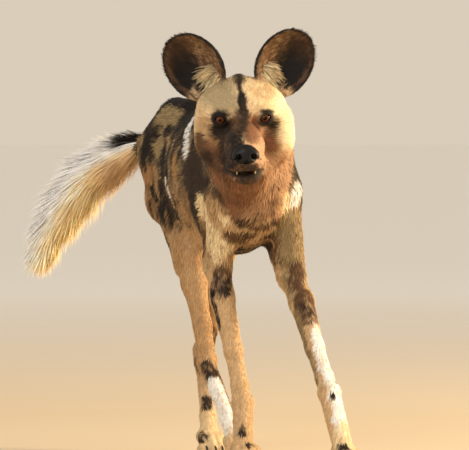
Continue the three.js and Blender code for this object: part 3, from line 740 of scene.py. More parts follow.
def gaze():
    """The way the eyes look."""
    forward = turned(HEAD_FORWARD, HEAD_UP, GAZE_TURN)
    return unit(forward + math.sin(GAZE_LIFT) * HEAD_UP)


def eye_material():
    """Pupil, streaked amber iris and dark rim by distance from the gaze line."""
    material, nodes, links, shader = new_material("eye_wet", 0.5, 0.0, coat=0.4, coat_roughness=0.02)
    where = add_node(nodes, "ShaderNodeTexCoord")
    rims = []
    for m in (-1, 1):
        centre = add_node(nodes, "ShaderNodeVectorMath", "SUBTRACT")
        centre.inputs[1].default_value = to_row(eye_centre(m))
        links.new(where.outputs["Object"], centre.inputs[0])
        off = add_node(nodes, "ShaderNodeVectorMath", "CROSS_PRODUCT")
        off.inputs[1].default_value = gaze()
        links.new(centre.outputs["Vector"], off.inputs[0])
        length = add_node(nodes, "ShaderNodeVectorMath", "LENGTH")
        links.new(off.outputs["Vector"], length.inputs[0])
        rims.append(length.outputs["Value"])
    nearer = add_node(nodes, "ShaderNodeMath", "MINIMUM")
    links.new(rims[0], nearer.inputs[0])
    links.new(rims[1], nearer.inputs[1])
    share = add_node(nodes, "ShaderNodeMath", "MULTIPLY")
    share.inputs[1].default_value = 1000 / EYE_RADIUS
    links.new(nearer.outputs["Value"], share.inputs[0])
    streaks = add_node(nodes, "ShaderNodeTexNoise", Scale=900.0, Detail=2.0)
    links.new(where.outputs["Object"], streaks.inputs["Vector"])
    nudge = add_node(nodes, "ShaderNodeMath", "MULTIPLY_ADD")
    nudge.inputs[1].default_value = 0.1
    links.new(streaks.outputs["Fac"], nudge.inputs[0])
    links.new(share.outputs["Value"], nudge.inputs[2])
    stops = [
        (PUPIL_RADIUS / EYE_RADIUS, linear(8, 6, 5)),
        (PUPIL_RADIUS / EYE_RADIUS + 0.06, linear(50, 25, 12)),
        (0.5, linear(112, 60, 27)),
        (0.62, linear(66, 32, 15)),
        (IRIS_RADIUS / EYE_RADIUS + 0.04, linear(16, 10, 8)),
        (0.86, linear(34, 24, 20)),
    ]
    add_ramp(nodes, links, nudge.outputs["Value"], shader, stops)
    return material


def round_grid(rows, columns):
    """Faces of a tube of rows of points, open at both ends."""
    at = np.arange(rows * columns).reshape(rows, columns)
    after = np.roll(at, -1, axis=1)
    return np.stack([at[:-1], after[:-1], after[1:], at[1:]], -1).reshape(-1, 4)


def add_eyes(material):
    rows, columns, pinhole = 40, 48, 0.012
    polar = np.linspace(pinhole, math.pi - pinhole, rows)[:, None]
    round_way = np.linspace(0, 2 * math.pi, columns, endpoint=False)[None, :]
    pole = gaze()
    side = unit(np.cross(UP, pole))
    above = np.cross(pole, side)
    edge = math.asin(IRIS_RADIUS / EYE_RADIUS)
    rise = CORNEA_RISE * np.clip(1 - (polar / edge) ** 2, 0, 1) ** 1.2
    radius = EYE_RADIUS - EYE_GAP + rise
    ring = np.cos(round_way)[..., None] * side + np.sin(round_way)[..., None] * above
    way = np.cos(polar)[..., None] * pole + np.sin(polar)[..., None] * ring
    for m, name in ((-1, "right_eye"), (1, "left_eye")):
        points = (eye_centre(m) + radius[..., None] * way).reshape(-1, 3)
        piece = add_mesh(name + "_ball", points, round_grid(rows, columns))
        piece.data.materials.append(material)
        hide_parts(name)
        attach(piece, "root")


# Nose: a pad with two comma nostrils, slit outward, and a groove down the middle.
nose_ball = head_ellipsoid((0, 97, -45), (18, 12, 15), 0)
nose_wing = {m: head_ellipsoid((m * 13, 99, -50), (9.5, 10, 10.5), 0) for m in (-1, 1)}
nostril = {
    m: head_chain([(m * 10.5, 113, -50, 4.6, 5.4), (m * 13.5, 103, -49, 4.0, 4.6)], blend=3) for m in (-1, 1)
}
nostril_slit = {
    m: head_chain([(m * 11, 111, -53, 1.8, 1.6), (m * 17, 105, -56, 1.5, 1.3), (m * 22, 99, -56, 1.2, 1)])
    for m in (-1, 1)
}
nose_foot = head_chain([(0, 99, -54, 8, 8), (0, 92, -64, 5, 6)])
nose_groove = head_chain([(0, 113, -50, 0.9, 1.2), (0, 108, -60, 1.0, 1.4), (0, 101, -68, 1.0, 1.4)])


def nose_pad(p):
    d = nose_ball(p)
    for m in (-1, 1):
        d = melt(d, nose_wing[m](p), 7)
    d = melt(d, nose_foot(p), 8)
    for m in (-1, 1):
        d = carve(d, nostril[m](p), 2.2)
        d = carve(d, nostril_slit[m](p), 1.4)
    return carve(d, nose_groove(p), 1.6)


def add_nose():
    lines = [steps((middle - 30, middle + 30, NOSE_STEP)) for middle in in_head(*NOSE)]
    points, faces = surface_net(nose_pad, lines)
    points = settled(nose_pad, points, most=0.6)
    piece = add_mesh("nose_pad", points, faces)
    material, nodes, links, shader = new_material("nose_leather", 0.5, 0.22, coat=0.12, coat_roughness=0.22)
    where = add_node(nodes, "ShaderNodeTexCoord")
    cells = add_node(nodes, "ShaderNodeTexVoronoi", Scale=950.0)
    links.new(where.outputs["Object"], cells.inputs["Vector"])
    bump = add_node(nodes, "ShaderNodeBump", Strength=0.45, Distance=0.0005)
    links.new(cells.outputs["Distance"], bump.inputs["Height"])
    links.new(bump.outputs["Normal"], shader.inputs["Normal"])
    tone = add_node(nodes, "ShaderNodeTexNoise", Scale=90.0, Detail=3.0)
    links.new(where.outputs["Object"], tone.inputs["Vector"])
    stops = [(0.35, linear(7, 7, 9)), (0.75, linear(22, 22, 28))]
    add_ramp(nodes, links, tone.outputs["Fac"], shader, stops)
    piece.data.materials.append(material)
    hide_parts("nose")
    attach(piece, "root")


def horn_material(name, dark, pale, roughness):
    """Claw or tooth: streaks of two tones along the piece, a little gloss and a fine bump."""
    material, nodes, links, shader = new_material(name, roughness, coat=0.2)
    streaks = add_bump(nodes, links, shader, 420.0, 0.25, 0.0003, stretch=(1, 1, 0.4))
    add_ramp(nodes, links, streaks.outputs["Fac"], shader, [(0.35, dark), (0.68, pale)])
    return material


FLATNESS = 0.7  # claws are flatter from side to side than from top to bottom


def bent_horn(root, tip, radius, rise, rows=9, columns=12):
    """A cone that curves up by `rise` on its way from root to tip, with a rounded end."""
    root, tip = np.asarray(root, float), np.asarray(tip, float)
    t = np.linspace(0, 1, rows)[:, None]
    line = root + t * (tip - root) + UP * rise * np.sin(math.pi * t)
    thick = radius * np.sqrt(np.maximum(1 - t**1.6, 0.002))
    along = unit(np.gradient(line, axis=0))
    side = unit(np.cross(along, UP))
    above = np.cross(side, along)
    angle = np.linspace(0, 2 * math.pi, columns, endpoint=False)[None, :, None]
    ring = FLATNESS * np.cos(angle) * side[:, None] + np.sin(angle) * above[:, None]
    points = (line[:, None] + thick[:, :, None] * ring).reshape(-1, 3)
    return points, round_grid(rows, columns)


def joined(meshes):
    """Several meshes as one: their points, and their faces counted on."""
    points, faces, at = [], [], 0
    for some, their_faces in meshes:
        points.append(some)
        faces.append(their_faces + at)
        at += len(some)
    return np.concatenate(points), np.concatenate(faces)


CLAW_THICK, CLAW_ARCH = 3.8, 2.8
TOOTH_THICK, TOOTH_ARCH = 2.6, 0.4


def claw_root(leg, place, reach):
    """Where a claw leaves its toe."""
    return paw_point(leg, place * 12.4, reach + 2, 12.5)


def add_claws(material):
    for name, leg in LEGS.items():
        horns = []
        for place, reach in TOES:
            root = claw_root(leg, place, reach)
            tip = paw_point(leg, place * 13, reach + 18, 2.6)
            horns.append(bent_horn(root, tip, CLAW_THICK, CLAW_ARCH))
        short = name.replace("leg", "")
        piece = add_mesh(short + "_claws", *joined(horns))
        piece.data.materials.append(material)
        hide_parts(*[f"{short}_claw_{n}" for n in range(1, 5)])
        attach(piece, "root")


def add_teeth(material):
    """The tips of the two lower canines, in the corners of the parted lips."""
    horns = []
    for m in (-1, 1):
        root, tip = in_head(m * 14, 69, -86), in_head(m * 16, 74, -78)
        horns.append(bent_horn(root, tip, TOOTH_THICK, TOOTH_ARCH))
    piece = add_mesh("lower_canines", *joined(horns))
    piece.data.materials.append(material)
    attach(piece, "root")


# Stage: a plain pale floor, soft studio light and the camera at the photo's angle.
VIEW_TURN, VIEW_RISE, VIEW_DISTANCE = math.radians(20), math.radians(3.5), 10.0
VIEW_WIDTH = 0.8086  # metres across the frame at the dog
AIM = (-0.0267, 0.409)  # the middle of the frame, right of and above the rig's origin
SENSOR, FAR = 36.0, 400.0  # the camera's film in millimetres, and how far it sees in metres
FLOOR_SIZE, FADE_START, FADE_END = 160, 1.5, 9.0  # metres; the floor's tone fades between the last two


def add_camera():
    level = np.array([-math.sin(VIEW_TURN), -math.cos(VIEW_TURN), 0])
    toward = level * math.cos(VIEW_RISE) + UP * math.sin(VIEW_RISE)
    right = np.array([math.cos(VIEW_TURN), -math.sin(VIEW_TURN), 0])
    above = np.cross(right, -toward)
    origin = SHIFT / 1000
    place = origin + VIEW_DISTANCE * toward
    target = origin + AIM[0] * right + AIM[1] * above
    data = bpy.data.cameras.new("camera")
    data.sensor_width = SENSOR
    data.lens = SENSOR * VIEW_DISTANCE / VIEW_WIDTH
    data.clip_end = FAR
    camera = bpy.data.objects.new("camera", data)
    camera.location = place
    camera.rotation_euler = Vector(target - place).to_track_quat("-Z", "Y").to_euler()
    bpy.context.scene.collection.objects.link(camera)
    bpy.context.scene.camera = camera


def add_light(name, place, target, size, power, colour):
    data = bpy.data.lights.new(name, "AREA")
    data.shape = "DISK"
    data.size, data.energy, data.color = size, power, colour
    light = bpy.data.objects.new(name, data)
    light.location = place
    light.rotation_euler = Vector(np.subtract(target, place)).to_track_quat("-Z", "Y").to_euler()
    bpy.context.scene.collection.objects.link(light)


def add_stage():
    """A floor whose tone fades with distance to that of the room, a warm key light and a weak fill."""
    bpy.ops.mesh.primitive_plane_add(size=FLOOR_SIZE)
    floor = bpy.context.object
    floor.name = "floor"
    material, nodes, links, shader = new_material("floor_paint", 0.85, specular=0.1)
    add_bump(nodes, links, shader, 60.0, 0.05, 0.001)
    where = add_node(nodes, "ShaderNodeTexCoord")
    away = add_node(nodes, "ShaderNodeVectorMath", "LENGTH")
    share = add_node(nodes, "ShaderNodeMapRange", From_Min=FADE_START, From_Max=FADE_END)
    links.new(where.outputs["Object"], away.inputs[0])
    links.new(away.outputs["Value"], share.inputs["Value"])
    stops = [(0, linear(214, 198, 172)), (1, (0.97, 0.97, 0.97))]
    add_ramp(nodes, links, share.outputs["Result"], shader, stops)
    floor.data.materials.append(material)
    world = bpy.data.worlds.new("room")
    bpy.context.scene.world = world
    world.use_nodes = True
    background = world.node_tree.nodes["Background"]
    background.inputs["Color"].default_value = (1.0, 0.87, 0.70, 1)
    background.inputs["Strength"].default_value = 0.7
    body = (0, 0, 0.5)
    add_light("key", (4.4, -1.7, 2.0), body, 1.2, 400, (1.0, 0.76, 0.48))
    add_light("fill", (-3.2, -3.4, 2.2), body, 3.0, 95, (0.98, 0.96, 0.98))
    bpy.context.scene.view_settings.view_transform = "Standard"


# Markings, and light and shade painted among them: one colour for each point of the animal, used by the skin
# and by the tufts that grow there.
SCATTER = np.array([73856093, 19349663, 83492791])  # large primes, one for each axis


def noise(p, size, seed=0):
    """Smooth random values from 0 to 1 that change over `size` millimetres, the same in every run."""
    q = p / size + seed * 7.31 + 100
    cell = np.floor(q).astype(np.int64)
    f = q - cell
    f = f * f * (3 - 2 * f)
    total = np.zeros(len(p))
    for corner in CORNERS:
        i, j, k = ((cell + corner) * SCATTER).T
        code = i ^ j ^ k ^ (seed * 2654435761 + SEED)
        code = (code ^ (code >> 13)) * 1274126177 & 0x7FFFFFFF
        value = ((code ^ (code >> 16)) & 0xFFFF) / 0xFFFF
        total += value * np.where(corner, f, 1 - f).prod(1)
    return total


def layered_noise(p, size, seed=0):
    """Three layers of noise, each finer and weaker than the one before."""
    layers = ((0.55, 1), (0.3, 2.1), (0.15, 4.3))  # how strong, and how much finer
    return sum(strong * noise(p, size / finer, seed + n) for n, (strong, finer) in enumerate(layers))


BLACK, SOOT, BROWN = linear(34, 29, 27), linear(58, 46, 38), linear(100, 74, 52)
RUST, OCHRE, TAN = linear(140, 98, 70), linear(172, 130, 86), linear(192, 158, 116)
UMBER, FAWN, HAY = linear(142, 120, 86), linear(190, 150, 116), linear(158, 136, 98)
LIT_IVORY, GOLD_GLOW = linear(250, 236, 198), linear(244, 213, 160)
SAND, CREAM, WHITE = linear(214, 182, 138), linear(236, 212, 166), linear(252, 250, 244)
SHADED_KHAKI, MOLE = linear(180, 160, 122), linear(200, 160, 126)


def blended(colours, other, share):
    return colours + np.clip(share, 0, 1)[:, None] * (other - colours)


def from_line(p, a, b, size=1):
    """Distance from a stretch of straight line, in units of `size`."""
    a, along = np.asarray(a, float), np.subtract(b, a).astype(float)
    t = np.clip((p - a) @ along / max(along @ along, 1e-9), 0, 1)
    return np.linalg.norm((p - a - t[:, None] * along) / size, axis=1)


# Marks on the body: the colour, both ends of the middle line, and the radius. Later marks lie over earlier.
BODY_MARKS = [
    # Right side, from the haunch to the withers.
    (HAY, (-14, 400, 600), (-16, 316, 592), 19),
    (HAY, (-34, 374, 562), (-42, 332, 536), 20),
    (BLACK, (-30, 338, 580), (-34, 300, 572), 9),
    (BLACK, (-40, 262, 570), (-62, 242, 500), 15),
    (BLACK, (-48, 312, 526), (-60, 262, 496), 17),
    (OCHRE, (-68, 190, 546), (-76, 160, 500), 15),
    (OCHRE, (-46, 428, 494), (-46, 386, 500), 15),
    (BLACK, (-46, 430, 522), (-46, 412, 512), 10),
    (BLACK, (-46, 384, 472), (-44, 334, 432), 9),
    (BLACK, (-42, 300, 442), (-44, 286, 414), 9),
    (SOOT, (-80, 70, 505), (-78, 10, 500), 42),
    (BLACK, (-60, 180, 560), (-40, 120, 600), 26),
    (WHITE, (-48, 158, 594), (-76, 100, 538), 14),
    (WHITE, (-60, 262, 488), (-70, 214, 438), 7),
    (BLACK, (-72, 190, 450), (-66, 200, 400), 15),
    (BLACK, (-44, 300, 470), (-46, 330, 430), 14),
    (BLACK, (-40, 318, 392), (-42, 300, 366), 8),
    (BLACK, (-30, 380, 560), (-40, 420, 540), 20),
    # Shoulders and breast.
    (TAN, (-66, -40, 440), (-66, -10, 360), 36),
    (CREAM, (-74, 14, 446), (-68, -26, 372), 25),
    (CREAM, (-62, -58, 440), (-60, -60, 430), 16),
    (BROWN, (-74, 40, 400), (-70, 44, 380), 12),
    (BROWN, (-50, -44, 398), (-34, -52, 384), 14),
    (WHITE, (46, -98, 474), (36, -108, 450), 17),
    (CREAM, (22, -120, 462), (30, -112, 440), 12),
    (HAY, (40, -92, 424), (48, -88, 370), 24),
    (SOOT, (62, -60, 470), (60, -50, 400), 10),
    # Right foreleg.
    (SOOT, (-70, 52, 376), (-68, 46, 368), 15),
    (SAND, (-74, 50, 374), (-72, 46, 370), 8),
    (BROWN, (-54, -14, 322), (-60, -14, 304), 20),
    (SOOT, (-66, -10, 322), (-52, -20, 298), 9),
    (SOOT, (-40, -22, 322), (-52, -20, 298), 8),
    (BLACK, (-66, -2, 296), (-60, -8, 240), 8),
    (BLACK, (-44, -82, 74), (-45, -84, 58), 9),
    (SOOT, (-40, -100, 30), (-36, -96, 34), 8),
    # Left foreleg.
    (HAY, (50, -84, 362), (56, -100, 300), 32),
    (SAND, (66, -96, 352), (70, -110, 300), 9),
    (BROWN, (50, -92, 338), (46, -100, 312), 15),
    (BROWN, (58, -112, 284), (62, -126, 256), 19),
    (SOOT, (56, -114, 274), (60, -124, 262), 8),
    (UMBER, (42, -110, 250), (54, -180, 140), 16),
    (WHITE, (72, -156, 238), (84, -246, 70), 19),
    (BLACK, (60, -158, 238), (59, -160, 232), 5),
    (BLACK, (68, -222, 128), (68, -224, 122), 5),
    (BLACK, (78, -200, 160), (80, -204, 150), 4),
    (CREAM, (84, -250, 62), (80, -276, 30), 22),
    (SOOT, (92, -280, 22), (86, -284, 26), 11),
    (BLACK, (70, -262, 40), (72, -270, 30), 10),
    # Right hindleg.
    (SOOT, (2, 226, 158), (6, 214, 140), 13),
    (WHITE, (4, 200, 128), (16, 138, 46), 15),
    (BROWN, (20, 230, 150), (26, 170, 80), 10),
    # Left hindleg.
    (BROWN, (40, 330, 210), (36, 340, 160), 20),
    (SOOT, (32, 312, 94), (30, 304, 80), 9),
    (SOOT, (6, 276, 36), (8, 268, 28), 11),
    # Left side, which the photo hides.
    (WHITE, (86, 176, 478), (90, 204, 450), 24),
    (BLACK, (84, 120, 520), (88, 190, 540), 34),
    (WHITE, (76, 330, 470), (80, 352, 440), 15),
    (BLACK, (72, 300, 520), (70, 390, 540), 26),
    (SOOT, (74, 40, 500), (70, 80, 440), 30),
]

# Marks on the face as seen from in front: the colour, both ends of the middle line from midway between the
# eyes to the dog's left and up, half the width and height, and how soft the edge is.
FACE_MARKS = [
    # Painted shade: the khaki over the right half of the forehead, the side away from the key light, stands
    # for the cream coat in shade.
    (SHADED_KHAKI, (-40, 48), (-30, 20), (28, 20), 0.9),
    # Painted light: the ivory on the left cheek, the side facing the key light, is paler than the cream coat
    # around it.
    (LIT_IVORY, (68, 18), (72, -30), (15, 22), 0.9),
    (OCHRE, (-52, -22), (-48, -36), (12, 11), 0.9),
    (TAN, (-60, -4), (-60, -26), (11, 12), 1.1),
    (RUST, (-62, -50), (-34, -84), (24, 20), 0.8),
    (BROWN, (-69, -28), (-66, -44), (8, 9), 0.9),
    (BROWN, (-56, -60), (-40, -90), (14, 15), 1.0),
    (SOOT, (-60, -56), (-44, -86), (9, 9), 1.3),
    (FAWN, (62, -62), (48, -88), (20, 15), 0.9),
    (RUST, (58, -68), (42, -82), (8, 7), 1.1),
    (RUST, (12, -12), (18, -34), (19, 16), 1.0),
    (MOLE, (20, -46), (26, -70), (20, 19), 0.8),
    (RUST, (10, -16), (11, -36), (13, 12), 1.2),
    (RUST, (38, -32), (42, -46), (10, 10), 1.2),
    (BROWN, (-10, -10), (-24, -60), (18, 18), 0.8),
    (SOOT, (-28, -28), (-22, -52), (12, 12), 0.9),
    (SOOT, (-18, -44), (-24, -84), (15, 15), 0.7),
    (BLACK, (-12, -34), (-20, -78), (12, 13), 0.8),
    (SOOT, (-5, 78), (-1, 64), (9, 7), 1.4),
    (SOOT, (-3, 60), (-2, 42), (4, 8), 1.1),
    (BLACK, (-1, 36), (1, 8), (7, 8), 0.6),
    (SOOT, (2, 4), (-2, -18), (8, 8), 1.2),
    (SOOT, (-38, 1), (-35, -22), (17, 14), 0.8),
    (BLACK, (-38, 2), (-37, -14), (13, 11), 0.6),
    (SOOT, (32, 9), (46, 9), (6, 4), 1.0),
    (BROWN, (48, -6), (44, -20), (8, 9), 1.1),
    (SOOT, (48, -6), (45, -14), (6, 6), 0.9),
    (BROWN, (2, -94), (4, -108), (27, 11), 0.7),
    (SOOT, (1, -90), (4, -105), (25, 9), 0.7),
]


def spine_at(y, axis):
    """The spine's coordinate on an axis, at places along the trunk."""
    return np.interp(y, [joint[1] for joint in SPINE], [joint[axis] for joint in SPINE])


def body_colours(p):
    """Black blotches on brindled brown, tan and grey, more ochre low down, and a black line on the back."""
    blotches = layered_noise(p * (1, 1, 0.72), 30, 3)
    strands = layered_noise(p * (1.6, 1.1, 0.6), 11, 9)
    above_spine = p[:, 2] - spine_at(p[:, 1], 2)
    brindle = blended(UMBER, SOOT, smooth_step(0.44, 0.6, strands) * 0.8)
    brindle = blended(brindle, TAN, smooth_step(0.46, 0.34, strands) * 0.5)
    brindle = blended(brindle, OCHRE, smooth_step(10, -60, above_spine) * 0.45)
    found = blended(BLACK, SOOT, smooth_step(0.36, 0.5, strands) * 0.7)
    found = blended(found, brindle, smooth_step(0.43, 0.52, blotches))
    return blended(found, BLACK, smooth_step(66, 88, above_spine))


def leg_colours(p, found):
    """Tan below the elbows and the stifles, with ochre fronts to the hind legs."""
    is_hind = smooth_step(100, 130, p[:, 1] + 0.35 * (p[:, 2] - 200) * (p[:, 2] > 200))
    pale = blended(SAND, TAN, 0.7 * layered_noise(p, 30, 5))
    ochre = blended(OCHRE, TAN, 0.3 + layered_noise(p, 26, 6))
    ochre = blended(ochre, CREAM, smooth_step(150, 60, p[:, 2]) * 0.75)
    edge = 56 * (layered_noise(p, 24, 8) - 0.5)
    level = np.where(is_hind > 0.5, 398, 352)
    low = smooth_step(level + 14, level - 14, p[:, 2] + edge)
    return blended(found, blended(pale, ochre, is_hind), low)


def breast_colours(p, found):
    """The rusty ruff under the throat, darker on the dog's right as painted shade, and grizzled tan and
    brown below it.
    """
    is_front = smooth_step(-14, -56, p[:, 1]) * smooth_step(330, 352, p[:, 2])
    swirls = layered_noise(p * (1, 1, 1.3), 15, 31)
    grizzle = blended(TAN, BROWN, smooth_step(0.36, 0.54, swirls))
    grizzle = blended(grizzle, SOOT, smooth_step(0.6, 0.7, swirls))
    found = blended(found, grizzle, is_front * smooth_step(452, 424, p[:, 2]))
    bulge = (p[:, 0] + 40) ** 2 / 120
    is_ruff = smooth_step(-60, -84, p[:, 1] + bulge) * smooth_step(418, 440, p[:, 2])
    # Painted shade: the ruff is darker rust on the dog's right, away from the key light and under the jaw,
    # and paler fawn towards its left.
    rust = blended(RUST, FAWN, smooth_step(-58, -26, p[:, 0]))
    rust = blended(rust, BROWN, smooth_step(0.44, 0.7, layered_noise(p, 16, 33)) * 0.8)
    return blended(found, rust, is_ruff)


def above_lips(p):
    """How far points are above the gap of the lips, and how far forward they are."""
    _, forward, up = to_head(p)
    return up - MOUTH_CORNER[1] + 2 + 0.06 * (forward - MOUTH_CORNER[0]), forward


def head_colours(p, found, share):
    """Cream with a dark middle line, dark patches round the eyes and a dark muzzle."""
    side, forward, up = to_head(p)
    level = 0.99 * up - 0.2 * forward
    own = blended(CREAM, SAND, smooth_step(0.3, 0.7, layered_noise(p, 14, 41)))
    own = blended(own, RUST, smooth_step(-62, -96, level + 0.35 * side))
    back = smooth_step(-84, -110, forward)
    own = blended(own, SOOT, back * smooth_step(0.3, 0.5, layered_noise(p, 24, 44)))
    own = blended(own, TAN, smooth_step(0.5, 0.7, layered_noise(p, 5, 47)) * 0.5)
    ragged = layered_noise(p, 10, 51) - 0.5
    ragged_fine = layered_noise(p, 3.5, 55) - 0.5
    seen = np.stack([side, level], 1)
    in_front = smooth_step(-100, -84, forward)
    for colour, start, end, size, soft in FACE_MARKS:
        off = from_line(seen, start, end, size) + 0.8 * ragged + 0.7 * ragged_fine
        own = blended(own, colour, smooth_step(1 + soft / 2, 1 - soft / 2, off) * in_front)
    specks = smooth_step(0.54, 0.68, layered_noise(p, 4.5, 91)) * smooth_step(-6, 30, forward)
    own = blended(own, BROWN, specks * 0.7)
    for m in (-1, 1):
        rim = np.linalg.norm(p - eye_centre(m), axis=1)
        own = blended(own, BLACK * 0.5, smooth_step(15.8, 12.8, rim))
    above = above_lips(p)[0]
    mouth = smooth_step(4, 20, forward)
    # Painted light: a pale tan band along the edge of the upper lip, where it catches the light. Below it
    # the lips are black, their own colour, and the faces inside their gap are black as painted shade.
    own = blended(own, TAN, smooth_step(6, 3.5, above) * smooth_step(-1, 1, above) * mouth * 0.8)
    own = blended(own, BLACK, smooth_step(1.6, 0.4, above) * smooth_step(-9, -6, above) * mouth)
    return blended(found, own, share)


def ear_colours(p, normals, found, share, out):
    """Dark back and rim, brown inner face, black hollow on the outer side, golden lower outer edge."""
    across, along, _, reach = in_ear(p, out)
    lateral = across * out / EAR_SHORT
    height = along / EAR_LONG
    inside = smooth_step(-0.1, 0.3, normals @ EAR_AXES[out][2])
    grain = layered_noise(p, 6, 61)
    own = blended(SOOT, BLACK, grain)
    medial = smooth_step(0.14, -0.42, lateral + 0.22 * height + 0.6 * (grain - 0.5))
    fuzz = blended(BROWN, TAN, smooth_step(0.5, 0.72, layered_noise(p, 3.5, 64)) * 0.7)
    hollow = blended(BLACK * 0.6, BROWN, smooth_step(0.1, 0.9, height + 0.5 * (grain - 0.5)) * 0.38)
    hollow = blended(hollow, fuzz, medial)
    low_edge = smooth_step(-0.16, -0.4, height + 0.3 * lateral) * smooth_step(0.3, 0.62, lateral)
    hollow = blended(hollow, SAND, low_edge * smooth_step(0.6, 0.44, grain))
    hollow = blended(hollow, BROWN, smooth_step(0.74, 0.86, reach) * smooth_step(0.38, 0.6, grain) * 0.8)
    own = blended(own, hollow, inside)
    own = blended(own, BLACK, smooth_step(0.9, 0.97, reach + 0.1 * (grain - 0.5)) * (1 - 0.8 * low_edge))
    return blended(found, own, share)


def along_tail(p):
    """Share of the way down the tail, the nearest place on its line, and the line's direction there."""
    best = np.full(len(p), np.inf)
    share, place, way = np.zeros(len(p)), np.zeros_like(p), np.zeros_like(p)
    count = len(TAIL_LINE) - 1
    for n, (a, b) in enumerate(zip(TAIL_LINE, TAIL_LINE[1:])):
        along = b - a
        t = np.clip((p - a) @ along / (along @ along), 0, 1)
        near = a + t[:, None] * along
        d = np.linalg.norm(p - near, axis=1)
        closer = d < best
        best = np.where(closer, d, best)
        share = np.where(closer, (n + t) / count, share)
        place[closer], way[closer] = near[closer], unit(along)
    return share, place, way


def tail_colours(p, found, is_tail):
    """White above, golden cream below, painted brighter as a glow of light from behind, with a few dark
    flecks, and a black line on the grizzled root.
    """
    share, place, _ = along_tail(p)
    height = p[:, 2] - place[:, 2]
    above = smooth_step(-10, 12, height)
    # Below, golden cream: the coat's pale colour, painted brighter as the glow of light from behind it.
    own = blended(GOLD_GLOW, CREAM, layered_noise(p, 30, 71))
    own = blended(own, WHITE, above)
    own = blended(own, BROWN, smooth_step(0.76, 0.8, layered_noise(p, 9, 73)) * 0.6)
    ragged = 0.16 * (layered_noise(p, 16, 74) - 0.5)
    # The sand on the root's underside is also painted light, standing for that glow.
    low_root = smooth_step(0.34, 0.2, share + ragged) * (1 - above)
    own = blended(own, SAND, low_root)
    own = blended(own, TAN, low_root * smooth_step(0.56, 0.66, layered_noise(p, 7, 75)))
    own = blended(own, TAN, smooth_step(0.06, 0.0, share + 0.5 * ragged) * (1 - above))
    own = blended(own, BLACK, smooth_step(0.2, 0.12, share) * smooth_step(10, 14, height))
    return blended(found, own, is_tail)


def pelt(p, normals):
    """The colour of the coat at points near the skin."""
    weights = region_weights(p)
    found = breast_colours(p, leg_colours(p, body_colours(p)))
    ragged = layered_noise(p, 14, 81) - 0.5
    ragged_fine = layered_noise(p, 5, 85) - 0.5
    specked = 1 - 0.5 * smooth_step(0.52, 0.66, layered_noise(p, 6, 88))
    for colour, start, end, radius in BODY_MARKS:
        off = from_line(p, start, end) / radius
        off = off + (0.9 if radius > 12 else 0.5) * ragged + 0.6 * ragged_fine
        found = blended(found, colour, smooth_step(1.12, 0.88, off) * specked)
    found = tail_colours(p, found, weights["tail"])
    found = head_colours(p, found, weights["head"])
    for out, name in EAR_NAMES.items():
        found = ear_colours(p, normals, found, weights[name], out)
    return found


# Regions of the coat: how long, wide and raised its tufts are, how many stand on a square millimetre, and
# how much they stray from the lie of the coat.
Region = namedtuple("Region", "distance length width lift count stray")


def legs_part(key):
    def distance(p):
        return np.minimum.reduce([leg[key](p) for leg in LEGS.values()])

    return distance


REGIONS = dict(
    trunk=Region(trunk, 15.0, 1.9, 4.2, 0.12, 0.2),
    neck=Region(neck, 27.0, 2.0, 9.5, 0.15, 0.24),
    head=Region(bare_head, 9.0, 1.35, 1.6, 0.34, 0.2),
    haunch=Region(legs_part("upper"), 12.0, 1.9, 2.6, 0.12, 0.16),
    shank=Region(legs_part("lower"), 8.0, 1.7, 1.4, 0.13, 0.12),
    paw=Region(legs_part("paw"), 4.0, 1.1, 0.5, 0.34, 0.15),
    tail=Region(tail, 60.0, 3.0, 8.0, 0.50, 0.2),
    right_ear=Region(ears[-1], 7.0, 1.3, 1.1, 0.24, 0.2),
    left_ear=Region(ears[1], 7.0, 1.3, 1.1, 0.24, 0.2),
)


def region_weights(p):
    """How much each region owns each point: the nearest shape wins, softly."""
    off = {name: region.distance(p) for name, region in REGIONS.items()}
    off["tail"] = off["tail"] + 40 * smooth_step(520, 500, p[:, 1])
    nearest = np.minimum.reduce(list(off.values()))
    raw = {name: np.exp(-np.maximum(d - nearest, 0) / 3.5) for name, d in off.items()}
    total = sum(raw.values())
    return {name: w / total for name, w in raw.items()}


def lie_of(p, normals, weights):
    """The way the coat lies: back from the nose, down the neck and legs, along the back and the tail."""
    nose_tip = in_head(0, 108, -48)
    _, _, up = to_head(p)
    neck_back = unit(np.subtract(NECK_LINE[0][:3], NECK_LINE[2][:3]))
    _, _, tail_way = along_tail(p)
    ways = dict(
        trunk=BACK * 0.9 + DOWN * 0.45,
        neck=neck_back * 0.75 + DOWN * 0.65,
        head=unit(p - nose_tip) + 0.25 * DOWN * smooth_step(-10, -50, up)[:, None],
        haunch=BACK * 0.35 + DOWN,
        shank=BACK * 0.12 + DOWN,
        paw=-BACK * 0.9 + DOWN * 0.5,
        tail=tail_way,
    )
    for out, name in EAR_NAMES.items():
        ways[name] = EAR_AXES[out][1] + 0.25 * out * EAR_AXES[out][0]
    total = sum(weights[name][:, None] * way for name, way in ways.items())
    total = total - (total * normals).sum(1)[:, None] * normals
    return unit(total + 1e-4 * DOWN)


def mixed(weights, field):
    """A field of the regions, blended by how much each owns a point."""
    return sum(weights[name] * getattr(region, field) for name, region in REGIONS.items())


# Each coat piece takes its places on the bake map from an unwrap of the part of the skin that it covers.


def round_line(p, points, side):
    """Angle round a line and share of the way along it, both from 0 to 1."""
    points = np.asarray(points, float)
    axis = unit(points[-1] - points[0])
    side = unit(side - (side @ axis) * axis)
    above = np.cross(axis, side)
    along = (p - points[0]) @ axis
    length = (points[-1] - points[0]) @ axis
    stations = (points - points[0]) @ axis
    middle = np.stack([np.interp(along, stations, points[:, i]) for i in range(3)], 1)
    q = p - middle
    angle = np.arctan2(q @ side, q @ above) / (2 * math.pi) + 0.5
    return np.stack([angle, 0.5 + (along / length - 0.5) * 0.8], 1)


